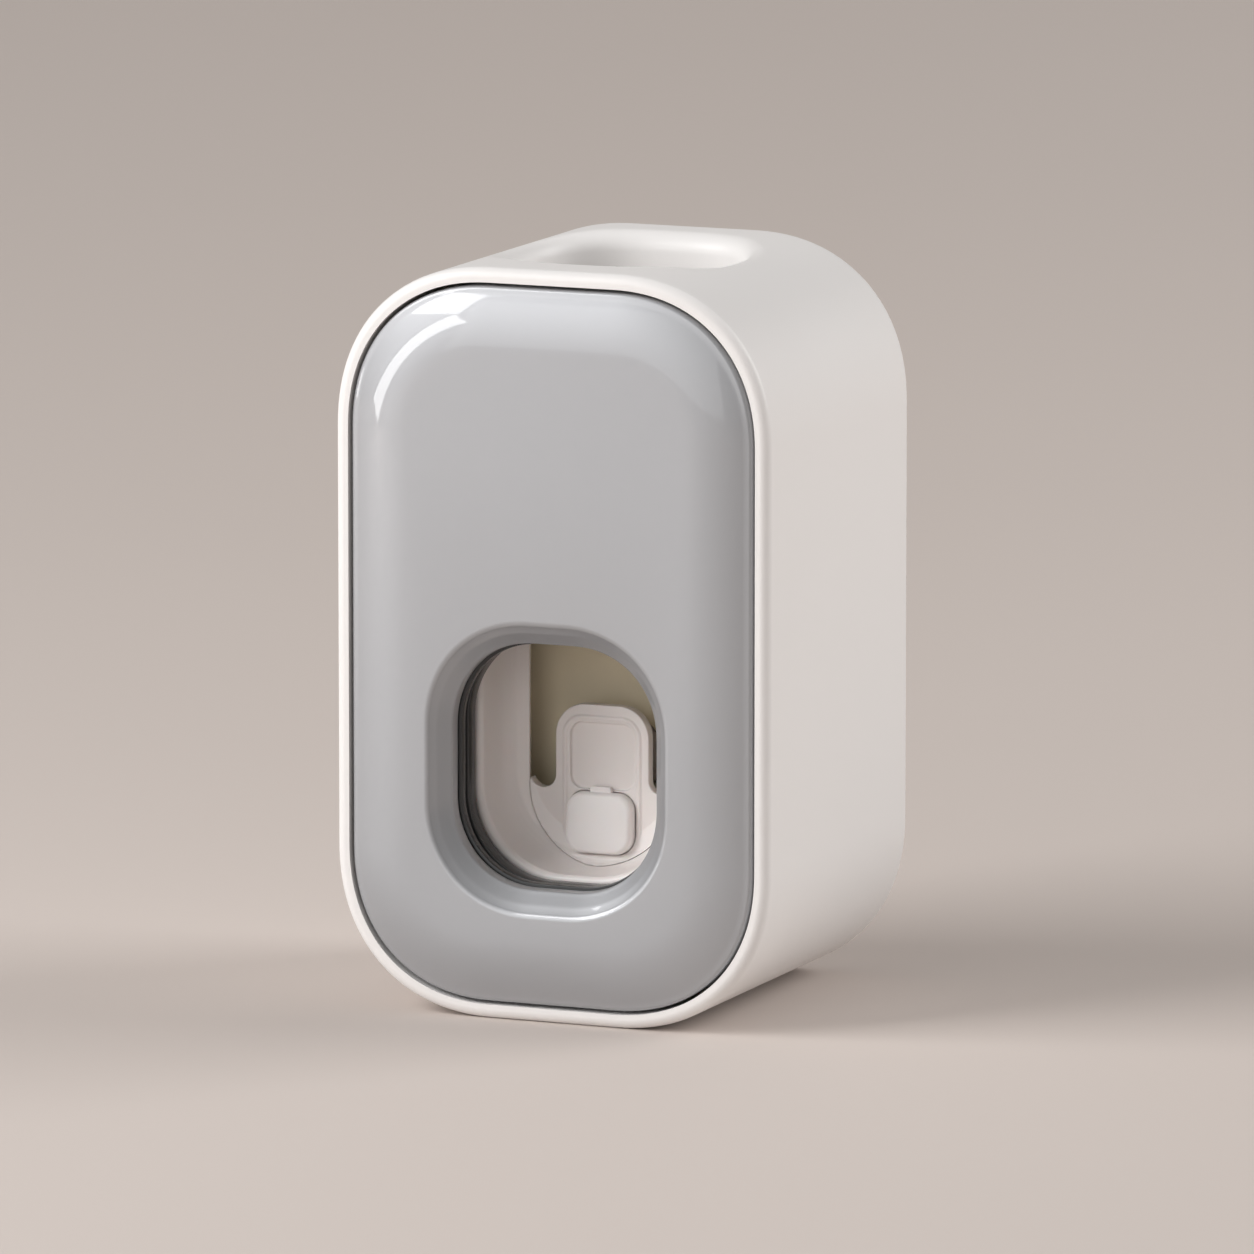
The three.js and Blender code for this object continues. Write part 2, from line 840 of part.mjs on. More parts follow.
function coreChassis() {
  const plateOutline = outline(
    bodyWidth - 2 * (shellWall + fit),
    bodyHeight - 2 * (shellWall + fit),
    cornerReach - shellWall - fit,
    cornerPower,
  );
  const plateShape = new THREE.Shape(
    plateOutline.map(([u, v]) => new THREE.Vector2(u, v + bodyHeight / 2)),
  );
  const front = behindRim(plateSetback);
  const back = behindRim(plateSetback + plateThickness);
  const plate = cut(
    slabY(plateShape, front, back),
    block(-bodyWidth, bodyWidth, rimY, backY, plateTop, 2 * bodyHeight),
  );
  const shelf = slabZ(
    roundedRect(shelfWidth, shelfDepth, shelfCorner, 0, behindRim(wellSetback)),
    plateTop - 0.5 * shelfThickness,
    shelfTop,
  );
  const gussetShape = new THREE.Shape();
  gussetShape.moveTo(back - plateThickness / 2, plateTop);
  gussetShape.lineTo(back - plateThickness / 2, plateTop - gussetSize);
  gussetShape.lineTo(back + gussetSize, plateTop);
  const gussets = [-gussetSpread, gussetSpread].map((x) => slabX(
    gussetShape,
    x - gussetThickness / 2,
    x + gussetThickness / 2,
  ));
  const ears = [-1, 1].map((side) => {
    const left = side > 0 ? pinEnd - earWidth : -pinEnd;
    return join(
      rodX(lugRadius, left, left + earWidth, behindRim(pivotSetback), pivotHeight, pinSteps),
      block(
        left,
        left + earWidth,
        behindRim(pivotSetback),
        front + plateThickness / 2,
        pivotHeight - lugRadius,
        pivotHeight + lugRadius,
      ),
    );
  });
  const pinHole = rodX(
    pinRadius + fit,
    -pinEnd - overcut,
    pinEnd + overcut,
    behindRim(pivotSetback),
    pivotHeight,
    pinSteps,
  );
  const screwHoles = screwPlaces().map(([x, z]) => rodY(
    screwRadius + fit,
    front - overcut,
    back + overcut,
    x,
    z,
    pinSteps,
  ));
  const plungerHole = rodY(
    plungerBoreRadius,
    front - overcut,
    back + overcut,
    0,
    pumpHeight,
  );
  const armNotch = block(
    -funnelRadius - fit,
    funnelRadius + fit,
    front - overcut,
    back + overcut,
    armBottom - fit,
    plateTop - shelfThickness / 2,
  );
  const funnelRoom = rodZ(
    funnelRadius + fit,
    armBottom,
    plateTop,
    0,
    behindRim(wellSetback),
  );
  const riserRoom = block(
    -riserHalfWidth - fit,
    riserHalfWidth + fit,
    back,
    behindRim(chamberEnd + fit),
    armBottom,
    plateTop,
  );
  const socketHole = rodZ(
    socketNeckRadius + fit,
    plateTop - shelfThickness,
    shelfTop + overcut,
    0,
    behindRim(wellSetback),
  );
  return cut(
    join(plate, shelf, ...gussets, ...ears),
    pinHole,
    ...screwHoles,
    plungerHole,
    armNotch,
    funnelRoom,
    riserRoom,
    socketHole,
  );
}

function screwPlaces() {
  return [
    [-bossSpread, bossLow],
    [bossSpread, bossLow],
    [-bossSpread, bossHigh],
    [bossSpread, bossHigh],
  ];
}

function pumpBody() {
  const front = behindRim(pumpFront);
  const end = behindRim(chamberEnd);
  const wellY = behindRim(wellSetback);
  const nozzleY = behindRim(nozzleSetback);
  const chamber = rodY(chamberRadius + chamberWall, front, end, 0, pumpHeight);
  const flange = slabY(
    roundedRect(
      2 * (bossSpread + flangeMargin),
      bossHigh - bossLow + 2 * flangeMarginUp,
      bossRadius + fit,
      0,
      (bossLow + bossHigh) / 2,
    ),
    front,
    front + flangeThickness,
  );
  const riser = slabZ(
    roundedRect(2 * riserHalfWidth, end - front, riserCorner, 0, (front + end) / 2),
    pumpHeight,
    funnelTop,
  );
  const arm = slabY(
    roundedRect(2 * armHalfWidth, armHeight, armCorner, 0, outletHeight),
    nozzleY - nozzleFlangeRadius - armOverhang,
    front + riserHalfWidth,
  );
  const funnel = rodZ(funnelRadius, armTop - overcut, funnelTop, 0, wellY);
  const socketSeat = rodZ(
    socketNeckRadius + fit,
    shelfTop - socketNeckDrop - fit,
    funnelTop + overcut,
    0,
    wellY,
  );
  const funnelBore = rodZ(
    funnelBoreRadius,
    inletLegHeight - inletLegRadius * 0.8,
    funnelTop,
    0,
    wellY,
  );
  const inletLeg = rodY(
    inletLegRadius,
    wellY,
    behindRim(inletSetback),
    0,
    inletLegHeight,
    pinSteps,
  );
  const inletBore = rodZ(
    inletRadius,
    pumpHeight,
    inletLegHeight,
    0,
    behindRim(inletSetback),
    pinSteps,
  );
  const outletRise = rodZ(
    outletRadius,
    pumpHeight,
    outletHeight,
    0,
    behindRim(outletSetback),
    pinSteps,
  );
  const outletRun = rodY(
    outletRadius,
    nozzleY,
    behindRim(outletSetback),
    0,
    outletHeight,
    pinSteps,
  );
  const nozzleSeat = rodZ(
    nozzleFlangeRadius + fit,
    armBottom - overcut,
    outletValveTop + fit,
    0,
    nozzleY,
  );
  const chamberBore = rodY(
    chamberRadius,
    front - overcut,
    end + overcut,
    0,
    pumpHeight,
  );
  const flangeSeat = rodY(
    chamberRadius + flangeSeatReach,
    front - overcut,
    front + diaphragmFlange + fit,
    0,
    pumpHeight,
  );
  const screwHoles = screwPlaces().map(([x, z]) => rodY(
    screwRadius + fit,
    front - overcut,
    front + flangeThickness + overcut,
    x,
    z,
    pinSteps,
  ));
  return cut(
    join(chamber, flange, riser, arm, funnel),
    socketSeat,
    funnelBore,
    inletLeg,
    inletBore,
    outletRise,
    outletRun,
    nozzleSeat,
    chamberBore,
    flangeSeat,
    ...screwHoles,
  );
}

const nozzleFlangeBottom = armBottom + fit;
const outletValveBottom = nozzleFlangeBottom + nozzleFlange + fit;
const outletValveTop = outletValveBottom + outletValveThickness;

function pumpPlunger() {
  const tip = behindRim(leverBack + fit);
  const discFront = behindRim(pumpFront);
  const discBack = discFront + plungerDiscThickness;
  const nose = [0, 0.25, 0.5, 0.75, 1].map((share) => {
    const angle = (Math.PI / 2) * share;
    return [noseRadius * Math.sin(angle), tip + noseRadius * (1 - Math.cos(angle))];
  });
  return turnedY([
    ...nose,
    [noseRadius, discFront],
    [plungerDiscRadius, discFront],
    [plungerDiscRadius, discBack],
    [0, discBack],
  ], 0, pumpHeight);
}

function pumpDiaphragm() {
  const front = behindRim(pumpFront + fit / 2);
  const flangeBack = front + diaphragmFlange;
  const cupInner = behindRim(pumpFront) + plungerDiscThickness + fit;
  const cupOuter = cupInner + diaphragmWall;
  const wallInner = plungerDiscRadius + fit;
  const wallOuter = wallInner + diaphragmWall;
  return turnedY([
    [wallInner, front],
    [chamberRadius + flangeSeatReach - fit, front],
    [chamberRadius + flangeSeatReach - fit, flangeBack],
    [wallOuter, flangeBack],
    [wallOuter, cupOuter - diaphragmWall / 2],
    [wallOuter - diaphragmWall / 2, cupOuter],
    [springCoilRadius / 2, cupOuter],
    [springCoilRadius / 2 - diaphragmWall / 2, cupOuter + diaphragmCup / 4],
    [0, cupOuter + diaphragmCup / 4],
    [0, cupInner],
    [wallInner, cupInner],
  ], 0, pumpHeight);
}

function returnSpring() {
  const cupOuter = behindRim(pumpFront) + plungerDiscThickness + fit + diaphragmWall;
  const start = cupOuter + fit + springWireRadius;
  const end = behindRim(chamberEnd - capSpigot) - fit - springWireRadius;
  class Helix extends THREE.Curve {
    getPoint(share, target = new THREE.Vector3()) {
      const angle = share * springTurns * Math.PI * 2;
      return target.set(
        springCoilRadius * Math.cos(angle),
        start + (end - start) * share,
        pumpHeight + springCoilRadius * Math.sin(angle),
      );
    }
  }
  const wire = new THREE.Shape();
  wire.absarc(0, 0, springWireRadius, 0, Math.PI * 2);
  return asSolid(new THREE.ExtrudeGeometry(wire, {
    steps: springTurns * 12,
    curveSegments: 3,
    extrudePath: new Helix(),
  }));
}

function pumpEndCap() {
  const face = behindRim(chamberEnd) + fit;
  const sealSeat = sealWireRadius + fit / 2;
  return turnedY([
    [0, behindRim(chamberEnd - capSpigot)],
    [chamberRadius - 2 * sealSeat - fit, behindRim(chamberEnd - capSpigot)],
    [chamberRadius - 2 * sealSeat - fit, face],
    [chamberRadius + chamberWall, face],
    [chamberRadius + chamberWall, face + capThickness * 0.7],
    [chamberRadius + chamberWall - capThickness * 0.3, face + capThickness],
    [0, face + capThickness],
  ], 0, pumpHeight);
}

function endCapSeal() {
  const middle = behindRim(chamberEnd) + fit - sealWireRadius - fit / 2;
  const coil = chamberRadius - fit / 2 - sealWireRadius;
  return asSolid(
    new THREE.TorusGeometry(coil, sealWireRadius - fit / 4, 6, latheSteps)
      .rotateX(Math.PI / 2)
      .translate(0, middle, pumpHeight),
  );
}

function outletNozzle() {
  return turnedZ([
    [nozzleBore, nozzleTip],
    [nozzleRadius - nozzleTaper, nozzleTip],
    [nozzleRadius, nozzleFlangeBottom - fit],
    [nozzleRadius, nozzleFlangeBottom],
    [nozzleFlangeRadius, nozzleFlangeBottom],
    [nozzleFlangeRadius, nozzleFlangeBottom + nozzleFlange],
    [nozzleBore, nozzleFlangeBottom + nozzleFlange],
  ], 0, behindRim(nozzleSetback));
}

function outletValve() {
  return turnedZ([
    [slitRadius, outletValveBottom + outletValveThickness * 0.4],
    [nozzleBore, outletValveBottom],
    [nozzleFlangeRadius, outletValveBottom],
    [nozzleFlangeRadius, outletValveTop],
    [nozzleBore, outletValveTop],
    [slitRadius, outletValveTop - outletValveThickness * 0.3],
  ], 0, behindRim(nozzleSetback));
}

function inletValve() {
  const outer = inletRadius - fit;
  const bottom = inletValveTop - inletValveLength;
  return turnedZ([
    [slitRadius, bottom],
    [slitRadius + inletValveWall, bottom],
    [outer, inletValveTop - inletValveLength / 3],
    [outer, inletValveTop],
    [outer - inletValveWall, inletValveTop],
    [outer - inletValveWall, inletValveTop - inletValveLength / 3],
  ], 0, behindRim(inletSetback), pinSteps);
}

const socketFlangeBottom = shelfTop + fit;
const socketFlangeTop = socketFlangeBottom + socketFlange;

function tubeSocket() {
  const bottom = shelfTop - socketNeckDrop;
  return turnedZ([
    [socketBore, bottom],
    [socketNeckRadius, bottom],
    [socketNeckRadius, socketFlangeBottom],
    [socketFlangeRadius, socketFlangeBottom],
    [socketFlangeRadius, socketFlangeTop],
    [socketMouth, socketFlangeTop],
    [socketBore, socketFlangeBottom],
  ], 0, behindRim(wellSetback));
}

function socketRing() {
  const inner = socketFlangeRadius + fit;
  const outer = inner + ringWall;
  const lipBottom = socketFlangeTop + fit;
  const top = Math.max(lipBottom + ringLip, socketFlangeBottom + ringHeight);
  const bevel = ringLip / 3;
  return turnedZ([
    [inner, socketFlangeBottom],
    [outer, socketFlangeBottom],
    [outer, top - bevel],
    [outer - bevel, top],
    [inner - ringLipReach + bevel, top],
    [inner - ringLipReach, top - bevel],
    [inner - ringLipReach, lipBottom],
    [inner, lipBottom],
  ], 0, behindRim(wellSetback));
}

function coreScrew([x, z]) {
  const seat = behindRim(pumpFront + flangeThickness + fit);
  const tip = behindRim(screwTip);
  const head = seat + screwHeadHeight;
  const blank = turnedY([
    [0, tip],
    [screwRadius * 0.3, tip],
    [screwRadius, tip + screwRadius],
    [screwRadius, seat],
    [screwHeadRadius, seat],
    [screwHeadRadius, seat + screwHeadHeight * 0.5],
    [screwHeadRadius * 0.7, head],
    [0, head],
  ], x, z, pinSteps);
  const reach = screwHeadRadius * 0.6;
  const half = driveWidth / 2;
  const drive = [[reach, half], [half, reach]].map(([wide, tall]) => block(
    x - wide,
    x + wide,
    head - driveDepth,
    head + overcut,
    z - tall,
    z + tall,
  ));
  return cut(blank, ...drive);
}

function wallBracket() {
  const front = recessFloorY + fit;
  const plate = slabY(
    roundedRect(bracketWidth, bracketHeight, bracketCorner, 0, bracketMiddle),
    front,
    front + bracketThickness,
  );
  const headBack = recessFloorY - recessWall - fit;
  const neck = block(
    -hookNeckWidth / 2,
    hookNeckWidth / 2,
    headBack - hookHeadThickness / 2,
    front + bracketThickness / 2,
    hookHeight - hookNeckHeight / 2,
    hookHeight + hookNeckHeight / 2,
  );
  const head = slabY(
    roundedRect(hookHeadWidth, hookHeadHeight, hookHeadCorner, 0, hookHeight),
    headBack - hookHeadThickness,
    headBack,
    0,
    2,
  );
  return join(plate, neck, head);
}

function adhesivePad() {
  return slabY(
    roundedRect(
      bracketWidth - 2 * tapeInset,
      bracketHeight - 2 * tapeInset,
      bracketCorner - tapeInset / 2,
      0,
      bracketMiddle,
    ),
    backY - tapeThickness,
    backY,
  );
}

const dispenser = new THREE.Group();

function place(name, solid, material) {
  const mesh = new THREE.Mesh(asGeometry(solid), material);
  mesh.name = name;
  dispenser.add(mesh);
}

const skin = bowlSkin();
place('outer_shell', outerShell(), whiteShell);
place('front_cover', frontCover(), greyGloss);
place('window_gasket', windowGasket(), darkRubber);
place('inner_liner', innerLiner(skin), warmWhite);
place('push_lever', pushLever(skin), warmWhite);
place('push_pad', pushPad(), softWhite);
place('lever_pin', leverPin(), steel);
place('core_chassis', coreChassis(), cream);
place('pump_body', pumpBody(), creamDark);
place('pump_plunger', pumpPlunger(), warmWhite);
place('pump_diaphragm', pumpDiaphragm(), silicone);
place('return_spring', returnSpring(), steel);
place('pump_end_cap', pumpEndCap(), creamDark);
place('end_cap_seal', endCapSeal(), darkRubber);
place('inlet_valve', inletValve(), silicone);
place('outlet_valve', outletValve(), silicone);
place('outlet_nozzle', outletNozzle(), warmWhite);
place('tube_socket', tubeSocket(), silicone);
place('socket_ring', socketRing(), warmWhite);
screwPlaces().forEach((spot, i) => place(`core_screw_${i + 1}`, coreScrew(spot), steel));
place('wall_bracket', wallBracket(), whiteShell);
place('adhesive_pad', adhesivePad(), foamGrey);

export default dispenser;
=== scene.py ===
# %% [markdown]
# This lesson dresses a wall-mounted toothpaste dispenser. The solids of the part are the fixed
# frame: they hold every size and every joint. Here the pieces that show are modelled again with
# fine, smooth surfaces, and each surface gets its finish. All lengths are in metres.

import math

import bmesh
import bpy
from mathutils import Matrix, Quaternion, Vector


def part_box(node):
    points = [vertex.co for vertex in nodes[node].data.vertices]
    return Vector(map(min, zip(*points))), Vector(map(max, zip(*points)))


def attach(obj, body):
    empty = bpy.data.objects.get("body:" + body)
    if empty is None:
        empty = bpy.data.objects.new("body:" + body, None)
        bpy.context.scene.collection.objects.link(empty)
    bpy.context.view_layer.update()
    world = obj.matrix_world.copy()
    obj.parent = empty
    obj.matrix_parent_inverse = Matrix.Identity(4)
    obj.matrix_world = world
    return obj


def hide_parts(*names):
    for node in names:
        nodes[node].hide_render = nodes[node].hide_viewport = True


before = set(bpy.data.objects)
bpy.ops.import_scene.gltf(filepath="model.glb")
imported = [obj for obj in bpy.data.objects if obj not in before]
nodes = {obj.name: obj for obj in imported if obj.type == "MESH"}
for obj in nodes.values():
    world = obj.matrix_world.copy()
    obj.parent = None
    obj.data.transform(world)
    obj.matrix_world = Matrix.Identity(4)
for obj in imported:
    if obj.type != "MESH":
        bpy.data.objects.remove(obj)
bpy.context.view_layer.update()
MM = 0.001

shell_low, shell_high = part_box("outer_shell")
rim_y = shell_low[1]
back_y = shell_high[1]
body_width = shell_high[0] - shell_low[0]
body_height = shell_high[2]
print("body", round(body_width / MM, 1), "by", round(body_height / MM, 1), "mm")

# %% [markdown]
# The camera stands in front and a little to the right, slightly above the part, and far away with
# a long lens, so that the upright edges stay nearly parallel. The part sits a hair left of and
# above the middle of the frame, so the camera is slid a little to the right and down.

# %% Camera
CAMERA_AZIMUTH = math.radians(22.885)
CAMERA_ELEVATION = math.radians(9.368)
CAMERA_DISTANCE = 1.7531
CAMERA_LENS = 365.6
CAMERA_SENSOR = 36
CAMERA_REACH = 20
SLIDE_RIGHT = 0.31 * MM
SLIDE_DOWN = 0.83 * MM

camera_back = Vector((
    math.sin(CAMERA_AZIMUTH) * math.cos(CAMERA_ELEVATION),
    -math.cos(CAMERA_AZIMUTH) * math.cos(CAMERA_ELEVATION),
    math.sin(CAMERA_ELEVATION),
))
camera_right = Vector((math.cos(CAMERA_AZIMUTH), math.sin(CAMERA_AZIMUTH), 0))
camera_up = camera_back.cross(camera_right)
aim = Vector((0, (rim_y + back_y) / 2, body_height / 2))
camera_data = bpy.data.cameras.new("camera")
camera_data.lens = CAMERA_LENS
camera_data.sensor_width = CAMERA_SENSOR
camera_data.clip_end = CAMERA_REACH
camera = bpy.data.objects.new("camera", camera_data)
camera.location = (
    aim + camera_back * CAMERA_DISTANCE + camera_right * SLIDE_RIGHT - camera_up * SLIDE_DOWN
)
camera.rotation_euler = (-camera_back).to_track_quat("-Z", "Y").to_euler()
bpy.context.scene.collection.objects.link(camera)
bpy.context.scene.camera = camera
bpy.context.scene.view_settings.view_transform = "Standard"
print("camera", round(CAMERA_DISTANCE, 2), "m away")

# %% [markdown]
# A studio finish is soft light from large lamps. A broad lamp to the left and above gives the
# form, a weaker one on the right keeps the long side bright, a wide one in front reaches into the
# bowl, and a narrow slanting one on the left is what the glossy cover mirrors in its top corner.

# %% Lamps and world
def soft_lamp(name, azimuth, elevation, distance, width, height, power, roll):
    """An area lamp at an angle round the part, turned towards it and rolled in its plane."""
    data = bpy.data.lights.new(name, "AREA")
    data.shape = "RECTANGLE"
    data.size = width
    data.size_y = height
    data.energy = power
    lamp = bpy.data.objects.new(name, data)
    turn, rise = math.radians(azimuth), math.radians(elevation)
    towards = Vector((
        math.sin(turn) * math.cos(rise),
        -math.cos(turn) * math.cos(rise),
        math.sin(rise),
    ))
    lamp.location = aim + towards * distance
    turned = towards.to_track_quat("Z", "Y") @ Quaternion((0, 0, 1), math.radians(roll))
    lamp.rotation_euler = turned.to_euler()
    bpy.context.scene.collection.objects.link(lamp)


# Name, azimuth and elevation in degrees, distance, width, height, watts, roll in degrees.
LAMPS = (
    ("key_lamp", -50, 36, 1.2, 0.8, 0.6, 10.3, 0),
    ("side_lamp", 120, 28, 1.3, 0.8, 0.8, 9.4, 0),
    ("fill_lamp", -8, 12, 2.0, 1.4, 1.4, 7.0, 0),
    ("arc_lamp", -41, 9, 0.6, 0.34, 0.07, 0.62, 45),
)
WORLD_COLOUR = (0.86, 0.855, 0.85, 1)
WORLD_STRENGTH = 0.33

for lamp in LAMPS:
    soft_lamp(*lamp)

world = bpy.data.worlds.new("studio")
bpy.context.scene.world = world
world.use_nodes = True
background = world.node_tree.nodes["Background"]
background.inputs["Color"].default_value = WORLD_COLOUR
background.inputs["Strength"].default_value = WORLD_STRENGTH
print("lamps", len(LAMPS))

# %% [markdown]
# Every finish is built from the same few parts: a colour that drifts very slightly over the
# surface, a roughness that does the same, and a fine bump. Moulded plastic is never perfectly
# even, and this is what keeps a plain colour from looking like paint on a screen.

# %% Finishes
COAT_ROUGHNESS = 0.03
SUBSURFACE_SCALE = 1.5 * MM
GRAIN_DEPTH = 0.1 * MM
CLOUD_DETAIL = 3
GRAIN_DETAIL = 2
SMOOTHEST = 0.02


def srgb(red, green, blue):
    """A colour written as 0 to 255 on screen, as linear light."""
    def linear(value):
        share = value / 255
        return share / 12.92 if share <= 0.04045 else ((share + 0.055) / 1.055) ** 2.4
    return (linear(red), linear(green), linear(blue), 1)


def finish_for(name, colour, roughness, drift, spread, grain, bump,
               coat=0.0, metallic=0.0, subsurface=0.0, cloud=45):
    """A moulded or turned finish: colour drift, roughness drift and a fine grain."""
    material = bpy.data.materials.new(name)
    material.use_nodes = True
    tree = material.node_tree
    shader = tree.nodes["Principled BSDF"]
    shader.inputs["Metallic"].default_value = metallic
    shader.inputs["Coat Weight"].default_value = coat
    shader.inputs["Coat Roughness"].default_value = COAT_ROUGHNESS
    shader.inputs["Subsurface Weight"].default_value = subsurface
    shader.inputs["Subsurface Scale"].default_value = SUBSURFACE_SCALE
    place = tree.nodes.new("ShaderNodeTexCoord")
    clouds = tree.nodes.new("ShaderNodeTexNoise")
    clouds.inputs["Scale"].default_value = cloud
    clouds.inputs["Detail"].default_value = CLOUD_DETAIL
    tree.links.new(place.outputs["Object"], clouds.inputs["Vector"])
    tint = tree.nodes.new("ShaderNodeMix")
    tint.data_type = "RGBA"
    tint.inputs["A"].default_value = tuple(c * (1 - drift) for c in colour[:3]) + (1,)
    tint.inputs["B"].default_value = tuple(min(1, c * (1 + drift)) for c in colour[:3]) + (1,)
    tree.links.new(clouds.outputs["Fac"], tint.inputs["Factor"])
    tree.links.new(tint.outputs["Result"], shader.inputs["Base Color"])
    fine = tree.nodes.new("ShaderNodeTexNoise")
    fine.inputs["Scale"].default_value = grain
    fine.inputs["Detail"].default_value = GRAIN_DETAIL
    tree.links.new(place.outputs["Object"], fine.inputs["Vector"])
    gloss = tree.nodes.new("ShaderNodeMapRange")
    gloss.inputs["To Min"].default_value = max(SMOOTHEST, roughness - spread)
    gloss.inputs["To Max"].default_value = roughness + spread
    tree.links.new(clouds.outputs["Fac"], gloss.inputs["Value"])
    tree.links.new(gloss.outputs["Result"], shader.inputs["Roughness"])
    relief = tree.nodes.new("ShaderNodeBump")
    relief.inputs["Strength"].default_value = bump
    relief.inputs["Distance"].default_value = GRAIN_DEPTH
    tree.links.new(fine.outputs["Fac"], relief.inputs["Height"])
    tree.links.new(relief.outputs["Normal"], shader.inputs["Normal"])
    return material


white_shell = finish_for("satin_white", srgb(236, 233, 231), roughness=0.42, drift=0.008,
                         spread=0.04, grain=2600, bump=0.05)
grey_gloss = finish_for("gloss_grey", srgb(172, 173, 176), roughness=0.5, drift=0.012,
                        spread=0.03, grain=700, bump=0.008, coat=0.9, metallic=0.5)
dark_ring = finish_for("dark_ring", srgb(44, 45, 46), roughness=0.24, drift=0.05,
                       spread=0.05, grain=1600, bump=0.03)
bowl_white = finish_for("bowl_white", srgb(238, 231, 228), roughness=0.3, drift=0.012,
                        spread=0.04, grain=1800, bump=0.02, subsurface=0.05)
pad_white = finish_for("pad_white", srgb(240, 235, 233), roughness=0.42, drift=0.015,
                       spread=0.05, grain=3000, bump=0.05, subsurface=0.05)
cream_core = finish_for("cream_core", srgb(247, 235, 206), roughness=0.5, drift=0.03,
                        spread=0.06, grain=1500, bump=0.05)
clear_silicone = finish_for("milky_silicone", srgb(222, 226, 226), roughness=0.45, drift=0.02,
                            spread=0.06, grain=1200, bump=0.03, subsurface=0.3)
bright_steel = finish_for("bright_steel", srgb(196, 198, 202), roughness=0.26, drift=0.05,
                          spread=0.08, grain=2400, bump=0.04, metallic=1.0)
foam_tape = finish_for("foam_tape", srgb(142, 145, 148), roughness=0.9, drift=0.08,
                       spread=0.05, grain=1800, bump=0.4)
print("finishes made:", len(bpy.data.materials))

# %% [markdown]
# Nearly everything on this object is drawn from one kind of outline: a rectangle whose corners
# are a little fuller than a quarter circle. A skin starts from a circle primitive. Its points are
# moved on to the first outline, and then its edge is extruded again and again, each time on to
# the next outline, as a potter draws up a wall. The helpers here do that, apply modifiers at once
# and give a piece its finish and its body.

# %% Outlines and skins
MERGE = 0.002 * MM


def outline(width, height, reach, power, steps):
    """Points (across, up) of a rectangle with fuller corners, counter-clockwise."""
    radius = min(reach, width / 2, height / 2)
    points = []
    for quarter, (sign_u, sign_v) in enumerate(((1, 1), (-1, 1), (-1, -1), (1, -1))):
        for i in range(steps + 1):
            turn = math.pi / 2 * i / steps
            angle = turn if quarter % 2 == 0 else math.pi / 2 - turn
            u = width / 2 - radius + radius * abs(math.cos(angle)) ** (2 / power)
            v = height / 2 - radius + radius * abs(math.sin(angle)) ** (2 / power)
            points.append((sign_u * u, sign_v * v))
    return points


def at_depth(points, y, z):
    """An outline stood upright at one depth, round a height."""
    return [Vector((u, y, z + v)) for u, v in points]


def start_edit(piece):
    """Goes into edit mode on one piece."""
    for other in bpy.context.selected_objects:
        other.select_set(False)
    bpy.context.view_layer.objects.active = piece
    piece.select_set(True)
    bpy.ops.object.mode_set(mode="EDIT")
    return bmesh.from_edit_mesh(piece.data)


def end_edit():
    """Goes back to object mode."""
    bpy.ops.object.mode_set(mode="OBJECT")


def settle(piece, threshold=MERGE):
    """Merges doubles and turns every face outwards."""
    start_edit(piece)
    bpy.ops.mesh.select_all(action="SELECT")
    bpy.ops.mesh.remove_doubles(threshold=threshold)
    bpy.ops.mesh.normals_make_consistent(inside=False)
    end_edit()


def skin(name, rings, ends=(True, True)):
    """Draws a circle primitive out over a row of rings, with or without a face at each end."""
    bpy.ops.object.select_all(action="DESELECT")
    bpy.ops.mesh.primitive_circle_add(
        vertices=len(rings[0]), radius=MM, fill_type="NGON" if ends[0] else "NOTHING"
    )
    piece = bpy.context.object
    piece.name = name
    bm = start_edit(piece)
    bpy.ops.mesh.select_all(action="SELECT")
    place = bm.verts.layers.int.new("place")
    bm.verts.ensure_lookup_table()
    for index, vertex in enumerate(bm.verts):
        vertex[place] = index
        vertex.co = rings[0][index]
    bmesh.update_edit_mesh(piece.data)
    for ring in rings[1:]:
        bpy.ops.mesh.extrude_edges_move()
        bm = bmesh.from_edit_mesh(piece.data)
        place = bm.verts.layers.int["place"]
        for vertex in bm.verts:
            if vertex.select:
                vertex.co = ring[vertex[place]]
        bmesh.update_edit_mesh(piece.data)
    if ends[1]:
        bpy.ops.mesh.edge_face_add()
    end_edit()
    settle(piece)
    return piece


def apply_modifier(piece, kind, **settings):
    """Adds one modifier and applies it at once."""
    bpy.ops.object.select_all(action="DESELECT")
    bpy.context.view_layer.objects.active = piece
    piece.select_set(True)
    modifier = piece.modifiers.new(kind.lower(), kind)
    for key, value in settings.items():
        setattr(modifier, key, value)
    bpy.ops.object.modifier_apply(modifier=modifier.name)


def carve(piece, tool, operation="DIFFERENCE"):
    """A boolean with a tool piece, which is then thrown away."""
    apply_modifier(piece, "BOOLEAN", object=tool, operation=operation, solver="EXACT")
    bpy.data.objects.remove(tool, do_unlink=True)


def smooth(piece, angle):
    """Shades a piece smooth, but keeps the edges that turn by more than an angle in degrees."""
    bpy.ops.object.select_all(action="DESELECT")
    bpy.context.view_layer.objects.active = piece
    piece.select_set(True)
    bpy.ops.object.shade_smooth_by_angle(angle=math.radians(angle))


def dress(piece, material, body, slot, *stands_for):
    """Gives a piece its finish and body and hides the nodes it stands for. The slot is not used."""
    piece.data.materials.clear()
    piece.data.materials.append(material)
    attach(piece, body)
    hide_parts(*stands_for)
    print(piece.name, len(piece.data.polygons), "faces")


# %% [markdown]
# The cover is a lid: a skirt that plugs into the housing, a tight rounding at its edge, a face
# that falls away over a band along its edge, and a flared window. The whole wall is one closed
# skin: it runs from the skirt over the face, down the window's flare and tunnel, and back inside.

